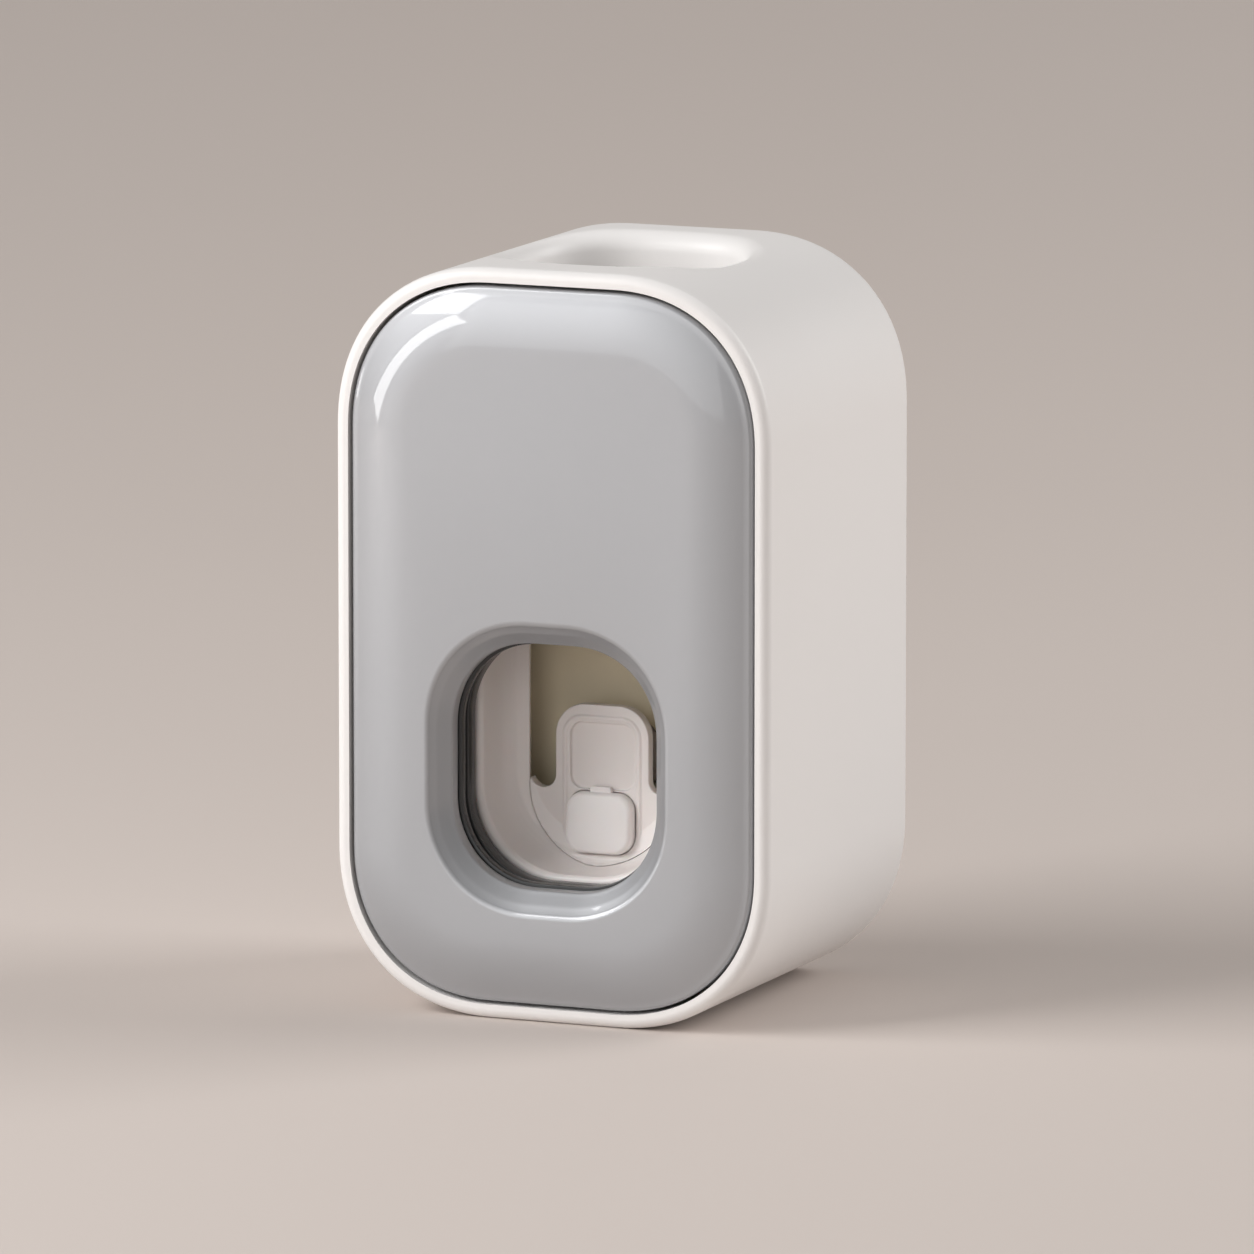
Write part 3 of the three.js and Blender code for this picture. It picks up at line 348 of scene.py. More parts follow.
# %% Sizes of the cover
CORNER_REACH = 23 * MM
CORNER_POWER = 2.2
SHELL_WALL = 2 * MM
COVER_GAP = 0.45 * MM
COVER_RISE = 1.8 * MM
COVER_BAND = 9 * MM
COVER_EDGE = 0.7 * MM
COVER_WALL = 2 * MM
COVER_SKIRT = 6.5 * MM
COVER_SKIRT_WALL = 1.6 * MM
CORNER_STEPS = 28
ROUND_STEPS = 6
FACE_STEPS = 14
SHADE_ANGLE = 40

WINDOW_WIDTH = 30.2 * MM
WINDOW_HEIGHT = 34 * MM
WINDOW_CENTRE = 35.2 * MM
WINDOW_CORNER = 12.2 * MM
WINDOW_POWER = 2.1
FLARE_OUT = 2.4 * MM
FLARE_UP = 2.9 * MM
FLARE_DEPTH = 1.2 * MM
FLARE_STEPS = 5
FLARE_LIP = 0.9 * MM
FLARE_LIP_TURN = 62
FLARE_LIP_STEPS = 8
FLARE_LIP_IN = 0.12
FLARE_FROM = 0.83
FLARE_RUN = 0.73
FLARE_FROM_DEPTH = 0.48 * MM
FLARE_SHORT = 0.7 * MM
FLARE_BACK = (0.5, 0.3 * MM)
TUNNEL_WALL = 1.6 * MM
TUNNEL_DEPTH = 3.2 * MM
TUNNEL_EDGE = 0.15 * MM
# Share of the flare that is left, and depth in millimetres, down the tunnel.
TUNNEL_PROFILE = ((0.045, 1.12), (0.012, 1.3), (0, 1.6), (0, 3.05))


def body_ring(inset, depth):
    """The housing's outline drawn in by an inset, at a depth behind the rim."""
    points = outline(
        body_width - 2 * inset,
        body_height - 2 * inset,
        CORNER_REACH - inset,
        CORNER_POWER,
        CORNER_STEPS,
    )
    return at_depth(points, rim_y + depth, body_height / 2)


def cover_ring(inset, depth):
    """The cover's outline, which plugs into the housing with a gap all round."""
    return body_ring(SHELL_WALL + COVER_GAP + inset, depth)


def window_ring(share, depth, extra=0.0):
    """The window's outline, grown by a share of the flare and by an extra width."""
    out = FLARE_OUT * share + extra
    up = FLARE_UP * share + extra
    points = outline(
        WINDOW_WIDTH + 2 * out,
        WINDOW_HEIGHT + 2 * up,
        WINDOW_CORNER + (out + up) / 2,
        WINDOW_POWER,
        CORNER_STEPS,
    )
    return at_depth(points, rim_y + depth, WINDOW_CENTRE)


def round_over(count):
    """A quarter turn as (share left to go sideways, share gone along)."""
    return [
        (1 - math.sin(math.pi / 2 * i / count), 1 - math.cos(math.pi / 2 * i / count))
        for i in range(count + 1)
    ]


print("window", round(WINDOW_WIDTH / MM, 1), "by", round(WINDOW_HEIGHT / MM, 1), "mm")

# %% [markdown]
# The rings of the cover follow one another along its section: up the skirt, round the edge, over
# the face, round the lip of the flare, down the tunnel, and then back inside to the skirt.

# %% Cover
def cover_fall(inset):
    """How far the face lies in front of the rim at an inset from its edge."""
    share = min(1, max(0, (inset - COVER_EDGE) / (COVER_BAND - COVER_EDGE)))
    return -COVER_RISE * (1 - (1 - share) ** 2)


def cover_rings():
    """Every outline of the cover's wall, in order along its section."""
    rings = [cover_ring(0, COVER_SKIRT)]
    for out, along in reversed(round_over(ROUND_STEPS)):
        rings.append(cover_ring(out * COVER_EDGE, along * COVER_EDGE))
    for step in range(1, FACE_STEPS + 1):
        inset = COVER_EDGE + (COVER_BAND - COVER_EDGE) * step / FACE_STEPS
        rings.append(cover_ring(inset, cover_fall(inset)))
    for step in range(FLARE_LIP_STEPS + 1):
        angle = math.radians(FLARE_LIP_TURN) * step / FLARE_LIP_STEPS
        share = 1 + (FLARE_LIP - FLARE_LIP * math.sin(angle)) / FLARE_OUT - FLARE_LIP_IN
        rings.append(window_ring(share, -COVER_RISE + FLARE_LIP * (1 - math.cos(angle))))
    for step in range(1, FLARE_STEPS + 1):
        share = FLARE_FROM - FLARE_RUN * step / FLARE_STEPS
        run = (FLARE_DEPTH + COVER_RISE - FLARE_SHORT) * step / FLARE_STEPS
        rings.append(window_ring(share, -COVER_RISE + FLARE_FROM_DEPTH + run))
    for share, depth in TUNNEL_PROFILE:
        rings.append(window_ring(share, depth * MM))
    rings.append(window_ring(0, TUNNEL_DEPTH, TUNNEL_EDGE))
    rings.append(window_ring(0, TUNNEL_DEPTH, TUNNEL_WALL))
    rings.append(window_ring(*FLARE_BACK, TUNNEL_WALL))
    rings.append(cover_ring(COVER_BAND, COVER_WALL - COVER_RISE))
    rings.append(cover_ring(COVER_SKIRT_WALL + COVER_EDGE, COVER_WALL))
    rings.append(cover_ring(COVER_SKIRT_WALL, COVER_WALL + COVER_EDGE))
    rings.append(cover_ring(COVER_SKIRT_WALL, COVER_SKIRT))
    rings.append(cover_ring(0, COVER_SKIRT))
    return rings


cover = skin("cover_skin", cover_rings(), ends=(False, False))
smooth(cover, SHADE_ANGLE)
dress(cover, grey_gloss, "cover", "grey_gloss", "front_cover")

# %% [markdown]
# Behind the window's tunnel sits a dark ring with a groove all round. It shows as a dark step, a
# black line and a glossy band. It is a closed loop of outlines, so the last ring meets the first.

# %% Dark ring
# Width added to the window's outline, and depth behind the rim, both in millimetres.
GASKET_PROFILE = (
    (-0.2, 3.5), (-0.36, 3.56), (-0.4, 3.7), (-0.4, 4.8), (-0.3, 4.95), (-0.1, 5.0),
    (0.9, 5.06), (1.05, 5.12), (1.1, 5.3), (1.1, 6.3), (1.05, 6.44), (0.9, 6.5),
    (0.2, 6.6), (0.05, 6.68), (0.0, 6.9), (0.0, 8.9), (0.06, 9.1), (0.25, 9.2),
    (1.4, 9.2), (1.6, 9.0), (1.6, 3.7), (1.4, 3.5), (-0.2, 3.5),
)

gasket_rings = [window_ring(0, depth * MM, grow * MM) for grow, depth in GASKET_PROFILE]
gasket = skin("window_ring", gasket_rings, ends=(False, False))
smooth(gasket, SHADE_ANGLE)
dress(gasket, dark_ring, "cover", "dark_rubber", "window_gasket")

# %% [markdown]
# The bowl and the lever are one moulded form cut apart by a U-shaped line. So the bowl's wall is
# drawn in one way, as a deep dish that is open on top, and made twice. One is cut with the lever's
# outline, and the other keeps what lies outside the U. Each is then remeshed in voxels of 0.13 or
# 0.2 mm and smoothed, which rounds every cut edge as a mould does.

# %% Sizes of the bowl
BOWL_WIDTH = 32 * MM
BOWL_BOTTOM = 17.2 * MM
BOWL_TOP = 57 * MM
BOWL_CORNER = 13.5 * MM
BOWL_FRONT = 9.8 * MM
BOWL_DEPTH = 8.2 * MM
BOWL_WALL = 1.7 * MM
BOWL_ROLL = 0.8 * MM
BOWL_CURVE = 4 * MM
BOWL_STEPS = 20
BOWL_SHARES = 12
BOWL_CORNER_FOLLOW = 0.6
BACK_FOLLOW = 0.9
LIP_START = 0.6
ROLL_WIDTH = 0.95
BOWL_HEIGHT = 2 * (BOWL_TOP - BOWL_BOTTOM)
LEVER_HALF = 6.9 * MM
LEVER_TOP = 41.3 * MM
LEVER_CORNER = 4.4 * MM
SLOT_WIDTH = 3.9 * MM
SLOT_FLOOR = 29.3 * MM
SLOT_OUTER = LEVER_HALF + SLOT_WIDTH
CUTOUT_CENTRE = 30.0 * MM
PARTING = 0.3 * MM
PARTING_SEEN = 0.07 * MM
SLOT_TURN = 1.2
BASE_STEPS = 48
U_STEPS = 60
CUT_FLARE = 1.1 * MM
BOSS_X = 16.2 * MM
BOSS_HEIGHTS = (28 * MM, 40 * MM)
BOSS_RADIUS = 2.4 * MM
BOSS_PILOT = 1.6 * MM
BOSS_FRONT = 16 * MM
BOSS_BACK = 24.7 * MM
BOSS_STEPS = 48
HOLE_STEPS = 32
BOWL_VOXEL = 0.2 * MM
LEVER_VOXEL = 0.13 * MM
BOWL_ROUNDS = 5
LEVER_ROUNDS = 3
SMOOTH_FACTOR = 0.5
CUT_BEHIND = 2 * MM


def bowl_ring(inset, depth):
    """The bowl's outline drawn in by an inset, at a depth behind the rim."""
    points = outline(
        BOWL_WIDTH - 2 * inset,
        BOWL_HEIGHT - 2 * inset,
        BOWL_CORNER - inset * BOWL_CORNER_FOLLOW,
        WINDOW_POWER,
        BOWL_STEPS,
    )
    return at_depth(points, rim_y + depth, BOWL_BOTTOM + BOWL_HEIGHT / 2)


def bowl_wall(name):
    """The dish: its outside from the back to the lip, then its inside, with its top cut off."""
    def curve(share):
        return BOWL_CURVE * (1 - (1 - share ** 3) ** (1 / CORNER_POWER))

    def roll(angle):
        return bowl_ring(BOWL_ROLL * (1 - math.cos(angle)),
                         BOWL_FRONT + BOWL_ROLL * (1 - math.sin(angle)))

    shares = [i / BOWL_SHARES for i in range(BOWL_SHARES + 1)]
    depth_of = [BOWL_FRONT + 2 * BOWL_ROLL + (BOWL_DEPTH - 2 * BOWL_ROLL) * s for s in shares]
    back = [
        bowl_ring(BOWL_ROLL + curve(s) * BACK_FOLLOW, d + BOWL_WALL)
        for s, d in reversed(list(zip(shares[2:], depth_of[2:])))
    ]
    lip = [bowl_ring(BOWL_ROLL * LIP_START, BOWL_FRONT + 2 * BOWL_ROLL)]
    lip += [roll(math.pi * i / BOWL_SHARES) for i in range(BOWL_SHARES + 1)]
    inner = [
        bowl_ring(2 * BOWL_ROLL * ROLL_WIDTH + curve(s), d) for s, d in zip(shares, depth_of)
    ]
    wall = skin(name, back + lip + inner)
    start_edit(wall)
    bpy.ops.mesh.select_all(action="SELECT")
    bpy.ops.mesh.bisect(
        plane_co=(0, 0, BOWL_TOP), plane_no=(0, 0, 1), use_fill=True, clear_outer=True
    )
    end_edit()
    return wall


def prism(name, points, front, back, flare=0.0):
    """A closed upright outline pushed straight back, or wider at its back by a flare."""
    def wider(x):
        return x + math.copysign(min(abs(x), flare), x)
    return skin(name, [
        [Vector((x, front, z)) for x, z in points],
        [Vector((wider(x), back, z)) for x, z in points],
    ])


def arc(x, z, radius, start, end, count=16):
    """Points on an arc between two angles, with a point at each end."""
    return [
        (
            x + radius * math.cos(start + (end - start) * i / count),
            z + radius * math.sin(start + (end - start) * i / count),
        )
        for i in range(count + 1)
    ]


def lever_outline():
    """The tongue, the two round slot floors and the half round base."""
    round_slot = SLOT_WIDTH / 2
    side = LEVER_HALF - LEVER_CORNER
    top = LEVER_TOP - LEVER_CORNER
    floor_x = LEVER_HALF + round_slot
    floor_z = SLOT_FLOOR + round_slot
    down = -math.pi / 2
    points = arc(side, top, LEVER_CORNER, 0, math.pi / 2)
    points += arc(-side, top, LEVER_CORNER, math.pi / 2, math.pi)
    points += arc(-floor_x, floor_z, round_slot, 0, down - SLOT_TURN)
    points += arc(0, CUTOUT_CENTRE, SLOT_OUTER - PARTING_SEEN, math.pi, 2 * math.pi, BASE_STEPS)
    points += arc(floor_x, floor_z, round_slot, down + SLOT_TURN, -math.pi)
    return points


def full_circle(x, z, radius, count):
    """Points on a whole circle."""
    return arc(x, z, radius, 0, 2 * math.pi * (count - 1) / count, count - 1)


def remesh(piece, voxel, rounds):
    """Rebuilds a piece in even quads and rounds its edges."""
    bpy.ops.object.select_all(action="DESELECT")
    bpy.context.view_layer.objects.active = piece
    piece.select_set(True)
    piece.data.remesh_voxel_size = voxel
    piece.data.use_remesh_fix_poles = False
    bpy.ops.object.voxel_remesh()
    apply_modifier(piece, "SMOOTH", factor=SMOOTH_FACTOR, iterations=rounds)
    bpy.ops.object.shade_smooth()


print("bowl", round(BOWL_WIDTH / MM, 1), "mm wide and", round(BOWL_DEPTH / MM, 1), "mm deep")

# %% [markdown]
# The bowl loses everything inside the U. The sides of the U open out towards the back, so that
# light falls past their edges. Four bosses behind the wall take the screws.

# %% Bowl
cut_front = rim_y + BOWL_FRONT + BOWL_DEPTH / 2
cut_back = rim_y + BOWL_FRONT + BOWL_DEPTH + BOWL_WALL + CUT_BEHIND
bowl_back = rim_y + BOWL_FRONT + BOWL_DEPTH

bowl = bowl_wall("bowl_wall")
u_shape = [(SLOT_OUTER, body_height), (-SLOT_OUTER, body_height)]
u_shape += arc(0, CUTOUT_CENTRE, SLOT_OUTER, math.pi, 2 * math.pi, U_STEPS)
carve(bowl, prism("u_cut", u_shape, cut_front, cut_back))
flared = [(SLOT_OUTER, body_height), (-SLOT_OUTER, body_height)]
flared += [(-SLOT_OUTER, SLOT_FLOOR + MM), (SLOT_OUTER, SLOT_FLOOR + MM)]
carve(bowl, prism("u_flare", flared, bowl_back, cut_back, CUT_FLARE))
for x in (-BOSS_X, BOSS_X):
    for z in BOSS_HEIGHTS:
        post = full_circle(x, z, BOSS_RADIUS, BOSS_STEPS)
        pilot = full_circle(x, z, BOSS_PILOT, HOLE_STEPS)
        carve(bowl, prism("boss", post, rim_y + BOSS_FRONT, rim_y + BOSS_BACK), "UNION")
        carve(bowl, prism("pilot", pilot, rim_y + BOSS_FRONT + MM, rim_y + BOSS_BACK + MM))
settle(bowl)
remesh(bowl, BOWL_VOXEL, BOWL_ROUNDS)
dress(bowl, bowl_white, "housing", "warm_white", "inner_liner")

# %% [markdown]
# The lever has a sunk panel in its upper half and a pocket below, in which the soft pad sits. A
# thin bead frames both. The lugs behind it, which take the pin, are rounded plates.

# %% Lever
PANEL_HALF = 4.8 * MM
PANEL_TOP = 38.8 * MM
PANEL_CORNER = 1.8 * MM
PANEL_SINK = 0.6 * MM
PAD_WIDTH = 9.8 * MM
PAD_BOTTOM = 20.8 * MM
PAD_TOP = 29.2 * MM
PAD_CORNER = 2.4 * MM
PAD_SEAT = 0.5 * MM
PAD_GAP_SEEN = 0.13 * MM
PIN_Y = rim_y + 22.5 * MM
PIN_Z = 22.6 * MM
PIN_HOLE = 1.3 * MM
LUG_RADIUS = 1.9 * MM
LUG_INNER = 3.0 * MM
LUG_OUTER = 5.4 * MM
BEAD_HALF = 5.5 * MM
BEAD_LOW = 20.2 * MM
BEAD_HIGH = 39.5 * MM
BEAD_CORNER = 2.6 * MM
BEAD_RADIUS = 0.36 * MM
BEAD_SUNK = 0.12 * MM
BEAD_SIDES = 8


def side_prism(name, points, left, right):
    """A closed outline seen from the side, pushed across from left to right."""
    return skin(name, [
        [Vector((left, y, z)) for y, z in points],
        [Vector((right, y, z)) for y, z in points],
    ])


def round_rect(width, height, corner, z):
    """A rectangle with quarter circles for corners, round a height."""
    points = outline(width, height, corner, 2, 10)
    return [(u, z + v) for u, v in points]


lever = bowl_wall("lever_tongue")
carve(lever, prism("lever_cut", lever_outline(), cut_front, cut_back), "INTERSECT")
panel_low = PAD_TOP + PARTING
panel = round_rect(
    2 * PANEL_HALF, PANEL_TOP - panel_low, PANEL_CORNER, (PANEL_TOP + panel_low) / 2
)
carve(lever, prism("panel_cut", panel, cut_front - MM, bowl_back + PANEL_SINK))
seat = round_rect(
    PAD_WIDTH + 2 * PAD_GAP_SEEN, PAD_TOP - PAD_BOTTOM + 2 * PAD_GAP_SEEN,
    PAD_CORNER + PAD_GAP_SEEN, (PAD_TOP + PAD_BOTTOM) / 2,
)
carve(lever, prism("pad_seat", seat, cut_front - MM, bowl_back + PAD_SEAT))


def face_y(z):
    """The front of the bowl's wall over its middle, at a height near its bottom."""
    inward = (z - BOWL_BOTTOM - 2 * BOWL_ROLL * ROLL_WIDTH) / BOWL_CURVE
    share = (1 - (1 - min(1.0, max(0.0, inward))) ** CORNER_POWER) ** (1 / 3)
    start = BOWL_FRONT + 2 * BOWL_ROLL
    return rim_y + start + (BOWL_DEPTH - 2 * BOWL_ROLL) * share


def bead_rings():
    """A thin round bead that runs along the frame of the panel and the pad."""
    path = round_rect(2 * BEAD_HALF, BEAD_HIGH - BEAD_LOW, BEAD_CORNER,
                      (BEAD_HIGH + BEAD_LOW) / 2)
    rings = []
    for i, (x, z) in enumerate(path):
        before, after = path[i - 1], path[(i + 1) % len(path)]
        across = Vector((after[1] - before[1], before[0] - after[0])).normalized()
        ring_points = []
        for k in range(BEAD_SIDES):
            turn = 2 * math.pi * k / BEAD_SIDES
            out = BEAD_RADIUS * math.cos(turn)
            ring_points.append(Vector((
                x + across.x * out,
                face_y(z) + BEAD_SUNK + BEAD_RADIUS * math.sin(turn),
                z + across.y * out,
            )))
        rings.append(ring_points)
    return rings + [rings[0]]


settle(lever)
carve(lever, skin("lever_bead", bead_rings(), ends=(False, False)), "UNION")
lug = arc(PIN_Y, PIN_Z, LUG_RADIUS, -math.pi / 2, math.pi / 2)
lug += [(bowl_back + BOWL_WALL / 2, PIN_Z + LUG_RADIUS)]
lug += [(bowl_back + BOWL_WALL / 2, PIN_Z - LUG_RADIUS)]
for left, right in ((-LUG_OUTER, -LUG_INNER), (LUG_INNER, LUG_OUTER)):
    carve(lever, side_prism("lever_lug", lug, left, right), "UNION")
pin_hole = full_circle(PIN_Y, PIN_Z, PIN_HOLE, HOLE_STEPS)
carve(lever, side_prism("pin_hole", pin_hole, -LUG_OUTER - MM, LUG_OUTER + MM))
settle(lever)
remesh(lever, LEVER_VOXEL, LEVER_ROUNDS)
dress(lever, bowl_white, "lever", "warm_white", "push_lever")

# %% [markdown]
# The pad is a cushion whose front leans out towards its lower end, with a rounded edge and a small
# tab on its top edge. It rides on the lever.

# %% Pad
PAD_PROUD = 1.5 * MM
PAD_TILT = 0.9 * MM
PAD_ROUND = 0.7 * MM
PAD_CORNER_FOLLOW = 0.5
# How far inside the edge, and how far behind the crown, the face is drawn.
PAD_FACE = ((1.6 * MM, 0.04 * MM), (3.0 * MM, 0.0))
PAD_SHOULDER = 0.12 * MM
TAB_WIDTH = 3.1 * MM
TAB_HEIGHT = 1.6 * MM
TAB_CORNER = 0.4 * MM
TAB_DEPTH = 0.8 * MM

pad_height = PAD_TOP - PAD_BOTTOM
pad_middle = (PAD_TOP + PAD_BOTTOM) / 2
pad_front = bowl_back - PAD_PROUD
pad_back = bowl_back + PAD_SEAT - PARTING


def pad_ring(inset, y):
    """One outline of the pad, whose front comes forward towards its lower end."""
    points = round_rect(
        PAD_WIDTH - 2 * inset,
        pad_height - 2 * inset,
        PAD_CORNER - inset * PAD_CORNER_FOLLOW,
        pad_middle,
    )
    forward = PAD_TILT * (pad_back - y) / (pad_back - pad_front)
    return [
        Vector((x, y - forward * (PAD_TOP - z) / pad_height, z)) for x, z in points
    ]


pad_rings = [pad_ring(0, pad_back)]
for out, along in reversed(round_over(ROUND_STEPS)):
    pad_rings.append(pad_ring(out * PAD_ROUND, pad_front + PAD_SHOULDER + along * PAD_ROUND))
for inset, behind in PAD_FACE:
    pad_rings.append(pad_ring(inset, pad_front + behind))
pad = skin("soft_pad", pad_rings)
tab = round_rect(TAB_WIDTH, TAB_HEIGHT, TAB_CORNER, PAD_TOP)
carve(pad, prism("pad_tab", tab, pad_back - TAB_DEPTH, pad_back), "UNION")
settle(pad)
remesh(pad, LEVER_VOXEL, LEVER_ROUNDS)
dress(pad, pad_white, "lever", "soft_white", "push_pad")

# %% [markdown]
# The housing is one moulding. Its top is the hardest place: the lip of the tube well has to stay
# an even soft rounding although the top curves away on both sides. So the top is drawn as rings
# that start in the well, climb its wall, turn over the lip and spread out into a rectangle, and
# every ring is lowered by as much as the outline falls there. A grid wrapped round the sides and
# the underside joins on to that rectangle, and the front and back edges are drawn in last.

# %% Sizes of the housing
RIM_ROUND = 1.4 * MM
BACK_ROUND = 2 * MM
BACK_WALL = 2.2 * MM
WELL_HALF_WIDTH = 15.2 * MM
WELL_HALF_DEPTH = 16.2 * MM
WELL_POWER = 2.6
WELL_LIP = 2.8 * MM
WELL_WALL = 1.8 * MM
WELL_BOTTOM = body_height - 27.6 * MM
WELL_Y = rim_y + 26.5 * MM
PATCH_HALF = 25 * MM
SIDE_COUNT = 36
WELL_STEPS = (0, 0.3, 0.6, 0.8, 0.92)
LIP_STEPS = 12
PATCH_STEPS = 10
TOP_STEPS = 16
FLANK_STEPS = (0.5, 0, -0.5)
BOTTOM_STEPS = 40
JOIN = 0.01 * MM
HOUSING_SHADE = 32
NORMAL_WEIGHT = 60

flat_x = body_width / 2 - CORNER_REACH
flat_z = body_height / 2 - CORNER_REACH
patch_front = rim_y + RIM_ROUND
patch_back = back_y - BACK_ROUND


def top_height(x):
    """The height of the housing's outline over a place across its top."""
    share = max(0.0, abs(x) - flat_x) / CORNER_REACH
    return body_height - CORNER_REACH * (1 - (1 - share ** CORNER_POWER) ** (1 / CORNER_POWER))


def outward(x, z):
    """The direction straight out of the outline at a point on it."""
    u = max(0.0, abs(x) - flat_x) / CORNER_REACH
    v = max(0.0, abs(z - body_height / 2) - flat_z) / CORNER_REACH
    across = u ** (CORNER_POWER - 1) * (1 if x > 0 else -1)
    up = v ** (CORNER_POWER - 1) * (1 if z > body_height / 2 else -1)
    length = math.hypot(across, up)
    return across / length, up / length


def well_points(offset):
    """The well's outline, grown by an offset, as many points as the patch has."""
    points = []
    count = 4 * SIDE_COUNT
    for i in range(count):
        angle = 2 * math.pi * (i - SIDE_COUNT / 2) / count
        cosine, sine = math.cos(angle), math.sin(angle)
        u = math.copysign(abs(cosine) ** (2 / WELL_POWER), cosine) * (WELL_HALF_WIDTH + offset)
        v = math.copysign(abs(sine) ** (2 / WELL_POWER), sine) * (WELL_HALF_DEPTH + offset)
        points.append((u, WELL_Y + v))
    return points


def patch_points():
    """The rectangle round the well: right, back, left and front side in turn."""
    points = []
    for i in range(SIDE_COUNT):
        share = i / SIDE_COUNT
        points.append((PATCH_HALF, patch_front + (patch_back - patch_front) * share))
    for i in range(SIDE_COUNT):
        points.append((PATCH_HALF * (1 - 2 * i / SIDE_COUNT), patch_back))
    for i in range(SIDE_COUNT):
        share = i / SIDE_COUNT
        points.append((-PATCH_HALF, patch_back + (patch_front - patch_back) * share))
    for i in range(SIDE_COUNT):
        points.append((-PATCH_HALF * (1 - 2 * i / SIDE_COUNT), patch_front))
    return points


print("well", round(2 * WELL_HALF_WIDTH / MM, 1), "by", round(2 * WELL_HALF_DEPTH / MM, 1), "mm")

# %% [markdown]
# Two skins make the block: the rings of the top, from the well outwards, and a grid primitive laid
# along the path from the right end of the top round the underside to its left end. They share the
# points where they meet, so joining and merging them closes the seam.

# %% Top and sides of the housing
def top_rings():
    """The well's wall, its lip and the patch round it, from the inside out."""
    rings = []
    bottom = WELL_BOTTOM - MM
    wall_top = [top_height(x) - WELL_LIP for x, y in well_points(0)]
    for share in WELL_STEPS:
        rings.append([
            Vector((x, y, bottom + (top - bottom) * share))
            for (x, y), top in zip(well_points(0), wall_top)
        ])
    for i in range(LIP_STEPS + 1):
        angle = math.pi / 2 * i / LIP_STEPS
        offset = WELL_LIP * (1 - math.cos(angle))
        sink = WELL_LIP * (1 - math.sin(angle))
        rings.append([Vector((x, y, top_height(x) - sink)) for x, y in well_points(offset)])
    start, end = well_points(WELL_LIP), patch_points()
    for i in range(1, PATCH_STEPS + 1):
        share = i / PATCH_STEPS
        ring_points = [
            (a[0] + (b[0] - a[0]) * share, a[1] + (b[1] - a[1]) * share)
            for a, b in zip(start, end)
        ]
        rings.append([Vector((x, y, top_height(x))) for x, y in ring_points])
    return rings


def side_path():
    """Points (x, z) from the right end of the top, round the underside, to its left end."""
    half = body_height / 2
    right = []
    first = math.acos(((PATCH_HALF - flat_x) / CORNER_REACH) ** (CORNER_POWER / 2))
    for i in range(TOP_STEPS + 1):
        angle = first * (1 - i / TOP_STEPS)
        right.append((
            flat_x + CORNER_REACH * math.cos(angle) ** (2 / CORNER_POWER),
            half + flat_z + CORNER_REACH * math.sin(angle) ** (2 / CORNER_POWER),
        ))
    right += [(body_width / 2, half + flat_z * share) for share in FLANK_STEPS]
    for i in range(BOTTOM_STEPS + 1):
        angle = math.pi / 2 * i / BOTTOM_STEPS
        right.append((
            flat_x + CORNER_REACH * math.cos(angle) ** (2 / CORNER_POWER),
            half - flat_z - CORNER_REACH * math.sin(angle) ** (2 / CORNER_POWER),
        ))
    right.append((0, 0))
    return right + [(-x, z) for x, z in reversed(right[:-1])]


def wrap_grid(name, path):
    """A grid primitive laid along a path, from the front to the back."""
    bpy.ops.object.select_all(action="DESELECT")
    bpy.ops.mesh.primitive_grid_add(
        x_subdivisions=len(path) - 1, y_subdivisions=SIDE_COUNT, size=2
    )
    piece = bpy.context.object
    piece.name = name
    for vertex in piece.data.vertices:
        along = round((vertex.co.x + 1) / 2 * (len(path) - 1))
        share = round((vertex.co.y + 1) / 2 * SIDE_COUNT) / SIDE_COUNT
        x, z = path[along]
        vertex.co = Vector((x, patch_front + (patch_back - patch_front) * share, z))
    return piece


housing = skin("housing_shell", top_rings(), ends=(True, False))
sides = wrap_grid("housing_sides", side_path())
bpy.ops.object.select_all(action="DESELECT")
sides.select_set(True)
housing.select_set(True)
bpy.context.view_layer.objects.active = housing
bpy.ops.object.join()
settle(housing, JOIN)
print("housing skin", len(housing.data.polygons), "faces")

# %% [markdown]
# The rim's rounding and the back edge are made by extruding each open edge and moving every new
# point inwards, square to the outline. A face closes each end, and the hollow is then taken out of
# the finished block.

# %% Rim and back
def draw_in(piece, y, profile):
    """Extrudes the open edge at one depth through (inset, y) steps and closes it."""
    start_edit(piece)
    bpy.ops.mesh.select_all(action="DESELECT")
    bpy.ops.mesh.select_mode(type="EDGE")
    bm = bmesh.from_edit_mesh(piece.data)
    across = bm.verts.layers.float.get("across") or bm.verts.layers.float.new("across")
    up = bm.verts.layers.float.get("up") or bm.verts.layers.float.new("up")
    for edge in bm.edges:
        on_edge = all(abs(v.co.y - y) < JOIN for v in edge.verts)
        edge.select_set(edge.is_boundary and on_edge)
    bm.select_flush_mode()
    for vertex in bm.verts:
        if vertex.select:
            vertex[across], vertex[up] = outward(vertex.co.x, vertex.co.z)
    bmesh.update_edit_mesh(piece.data)
    gone = 0
    for inset, depth in profile:
        bpy.ops.mesh.extrude_edges_move()
        bm = bmesh.from_edit_mesh(piece.data)
        across = bm.verts.layers.float["across"]
        up = bm.verts.layers.float["up"]
        for vertex in bm.verts:
            if vertex.select:
                vertex.co.x -= vertex[across] * (inset - gone)
                vertex.co.z -= vertex[up] * (inset - gone)
                vertex.co.y = depth
        bmesh.update_edit_mesh(piece.data)
        gone = inset
    bpy.ops.mesh.edge_face_add()
    end_edit()


quarter = list(reversed(round_over(ROUND_STEPS)))[1:]
rim_steps = [(out * RIM_ROUND, rim_y + along * RIM_ROUND) for out, along in quarter]
back_steps = [(out * BACK_ROUND, back_y - along * BACK_ROUND) for out, along in quarter]
draw_in(housing, patch_front, rim_steps)
draw_in(housing, patch_back, back_steps)
settle(housing)
print("closed block", len(housing.data.polygons), "faces")

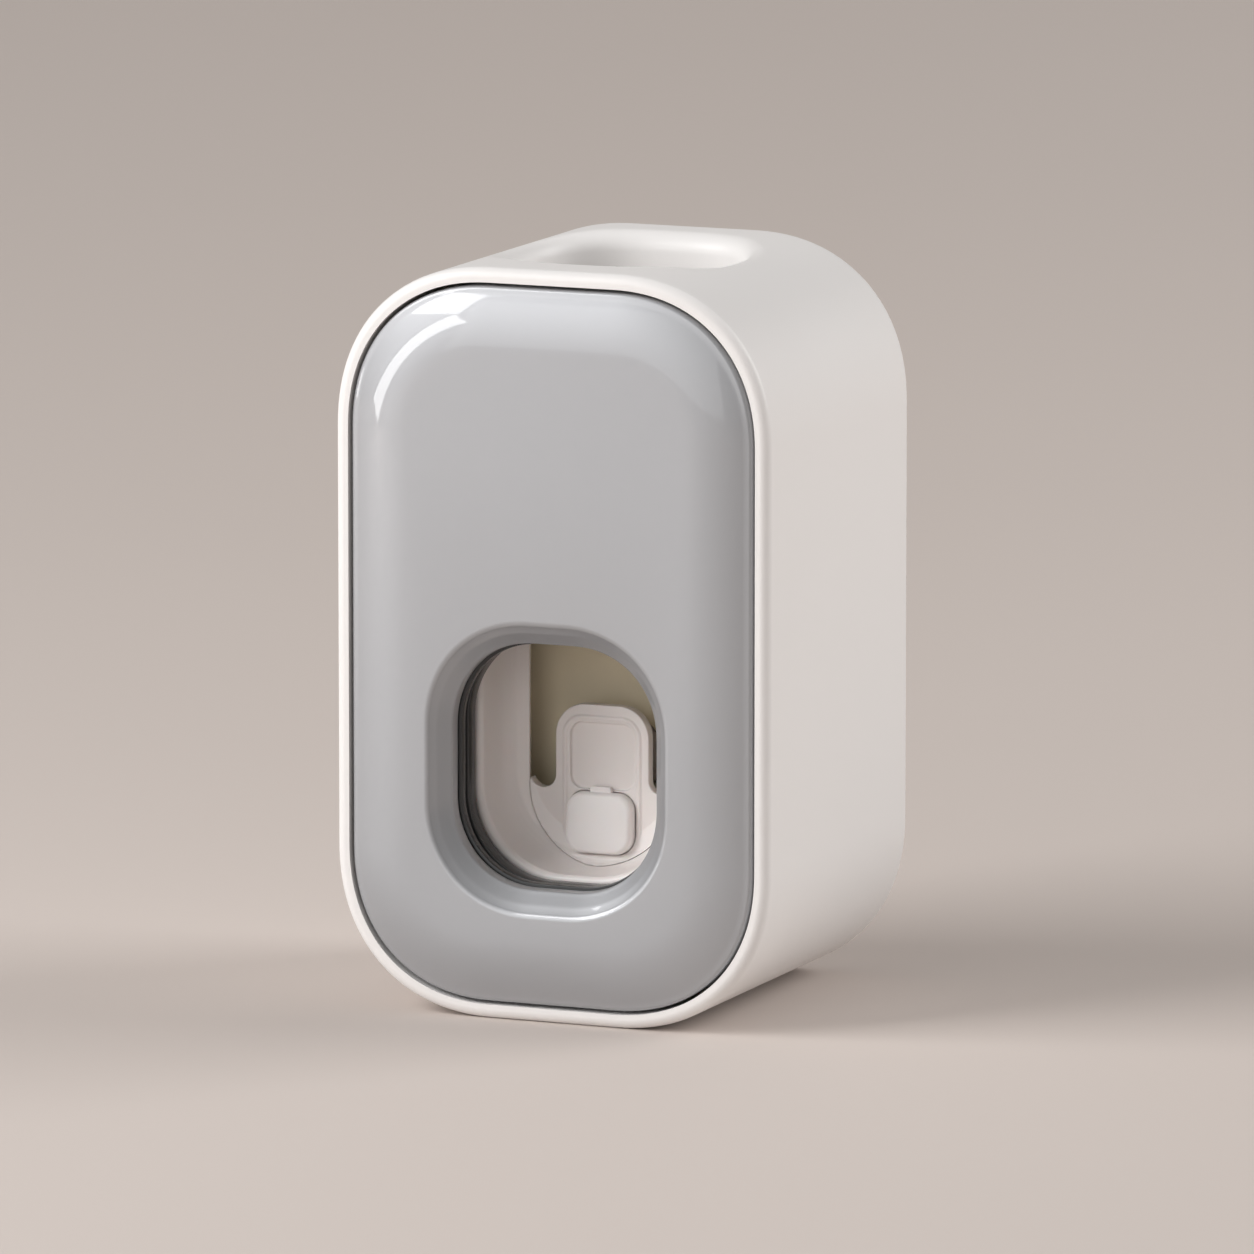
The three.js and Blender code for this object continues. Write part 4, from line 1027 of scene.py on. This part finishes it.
# %% [markdown]
# The hollow is a block in the shape of the outline, less the wall of the tube well and less the
# pocket for the wall bracket, so that both stay standing inside the housing. The recess in the back
# takes the bracket, and its floor has a slot for the bracket's hook with a wide mouth below.

# %% Hollow, bracket recess and hook slot
BRACKET_WIDTH = 34 * MM
BRACKET_HEIGHT = 33 * MM
BRACKET_CORNER = 4 * MM
BRACKET_TRAVEL = 10 * MM
BRACKET_TOP = 88 * MM
RECESS_DEPTH = 4 * MM
RECESS_WALL = 2 * MM
SLACK = 0.3 * MM
HOOK_BELOW = 5 * MM
HOOK_CUT = 3 * MM
HOOK_SLOT = (5.6 * MM, 12.3 * MM + 3 * MM, 2.0 * MM)
HOOK_SLOT_BELOW = 5.2 * MM
HOOK_MOUTH = (12.2 * MM, 7.2 * MM, 1.5 * MM)

recess_top = BRACKET_TOP + SLACK
recess_bottom = BRACKET_TOP - BRACKET_HEIGHT - BRACKET_TRAVEL - SLACK
recess_middle = (recess_top + recess_bottom) / 2
recess_height = recess_top - recess_bottom
recess_width = BRACKET_WIDTH + 2 * SLACK
recess_floor = back_y - RECESS_DEPTH
hook_z = BRACKET_TOP - BRACKET_HEIGHT / 2 - HOOK_BELOW

hollow = skin("hollow", [
    body_ring(SHELL_WALL, -MM),
    body_ring(SHELL_WALL, back_y - rim_y - BACK_WALL),
])
well_wall = skin("well_wall", [
    [Vector((x, y, WELL_BOTTOM)) for x, y in well_points(WELL_WALL)],
    [Vector((x, y, body_height)) for x, y in well_points(WELL_WALL)],
])
carve(hollow, well_wall)
pocket = round_rect(
    recess_width + 2 * RECESS_WALL, recess_height + 2 * RECESS_WALL,
    BRACKET_CORNER + RECESS_WALL, recess_middle,
)
carve(hollow, prism("pocket", pocket, recess_floor - RECESS_WALL, back_y + MM))
carve(housing, hollow)
recess = round_rect(recess_width, recess_height, BRACKET_CORNER, recess_middle)
carve(housing, prism("recess", recess, recess_floor, back_y + MM))
slot = round_rect(*HOOK_SLOT, hook_z - HOOK_SLOT_BELOW)
carve(housing, prism("hook_slot", slot, recess_floor - HOOK_CUT, recess_floor + MM))
mouth = round_rect(*HOOK_MOUTH, hook_z - BRACKET_TRAVEL)
carve(housing, prism("hook_mouth", mouth, recess_floor - HOOK_CUT, recess_floor + MM))
settle(housing)
smooth(housing, HOUSING_SHADE)
apply_modifier(housing, "WEIGHTED_NORMAL", keep_sharp=True, weight=NORMAL_WEIGHT)
dress(housing, white_shell, "housing", "white_shell", "outer_shell")

# %% [markdown]
# The pieces inside keep their solids from the frame, whose shapes are right, and get their
# finishes. The cream chassis and pump show through the slots of the bowl.

# %% Finishes of the pieces that stay
kept = {
    "core_chassis": cream_core,
    "pump_body": cream_core,
    "pump_end_cap": cream_core,
    "pump_plunger": bowl_white,
    "outlet_nozzle": bowl_white,
    "socket_ring": bowl_white,
    "pump_diaphragm": clear_silicone,
    "inlet_valve": clear_silicone,
    "outlet_valve": clear_silicone,
    "tube_socket": clear_silicone,
    "end_cap_seal": dark_ring,
    "return_spring": bright_steel,
    "lever_pin": bright_steel,
    "wall_bracket": white_shell,
    "adhesive_pad": foam_tape,
}
kept.update({f"core_screw_{i}": bright_steel for i in range(1, 5)})
for name, material in kept.items():
    node = nodes[name]
    node.data.materials.clear()
    node.data.materials.append(material)
print("kept nodes:", len(kept))

# %% [markdown]
# The part stands on a seamless sweep: a floor that curves up slowly into the wall behind it, in one
# matt warm grey. The curve is so wide that a camera behind the part still stands in front of it.
# It is stage, and not a piece of the object.

# %% Stage
FLOOR_HALF = 3.0
FLOOR_FRONT = -2.5
SWEEP_START = 0.2
SWEEP_RADIUS = 3.2
SWEEP_STEPS = 24
WALL_HEIGHT = 4.0


def sweep_profile():
    """Points (y, z) along the floor, up the curve and up the wall."""
    points = [(FLOOR_FRONT, 0), (SWEEP_START, 0)]
    for i in range(1, SWEEP_STEPS + 1):
        angle = math.pi / 2 * i / SWEEP_STEPS
        points.append((
            SWEEP_START + SWEEP_RADIUS * math.sin(angle),
            SWEEP_RADIUS * (1 - math.cos(angle)),
        ))
    points.append((SWEEP_START + SWEEP_RADIUS, WALL_HEIGHT))
    return points


sweep_mesh = bpy.data.meshes.new("sweep")
sweep_points = sweep_profile()
sweep_mesh.from_pydata(
    [(x, y, z) for y, z in sweep_points for x in (-FLOOR_HALF, FLOOR_HALF)],
    [],
    [(2 * i, 2 * i + 1, 2 * i + 3, 2 * i + 2) for i in range(len(sweep_points) - 1)],
)
sweep = bpy.data.objects.new("sweep", sweep_mesh)
sweep.rotation_euler = (0, 0, CAMERA_AZIMUTH)
bpy.context.scene.collection.objects.link(sweep)
sweep_mesh.shade_smooth()
sweep_paper = finish_for("sweep_paper", srgb(205, 194, 187), roughness=0.85, drift=0.02,
                         spread=0.03, grain=900, bump=0.15, cloud=3)
sweep_mesh.materials.append(sweep_paper)
print("sweep", len(sweep_mesh.polygons), "faces")
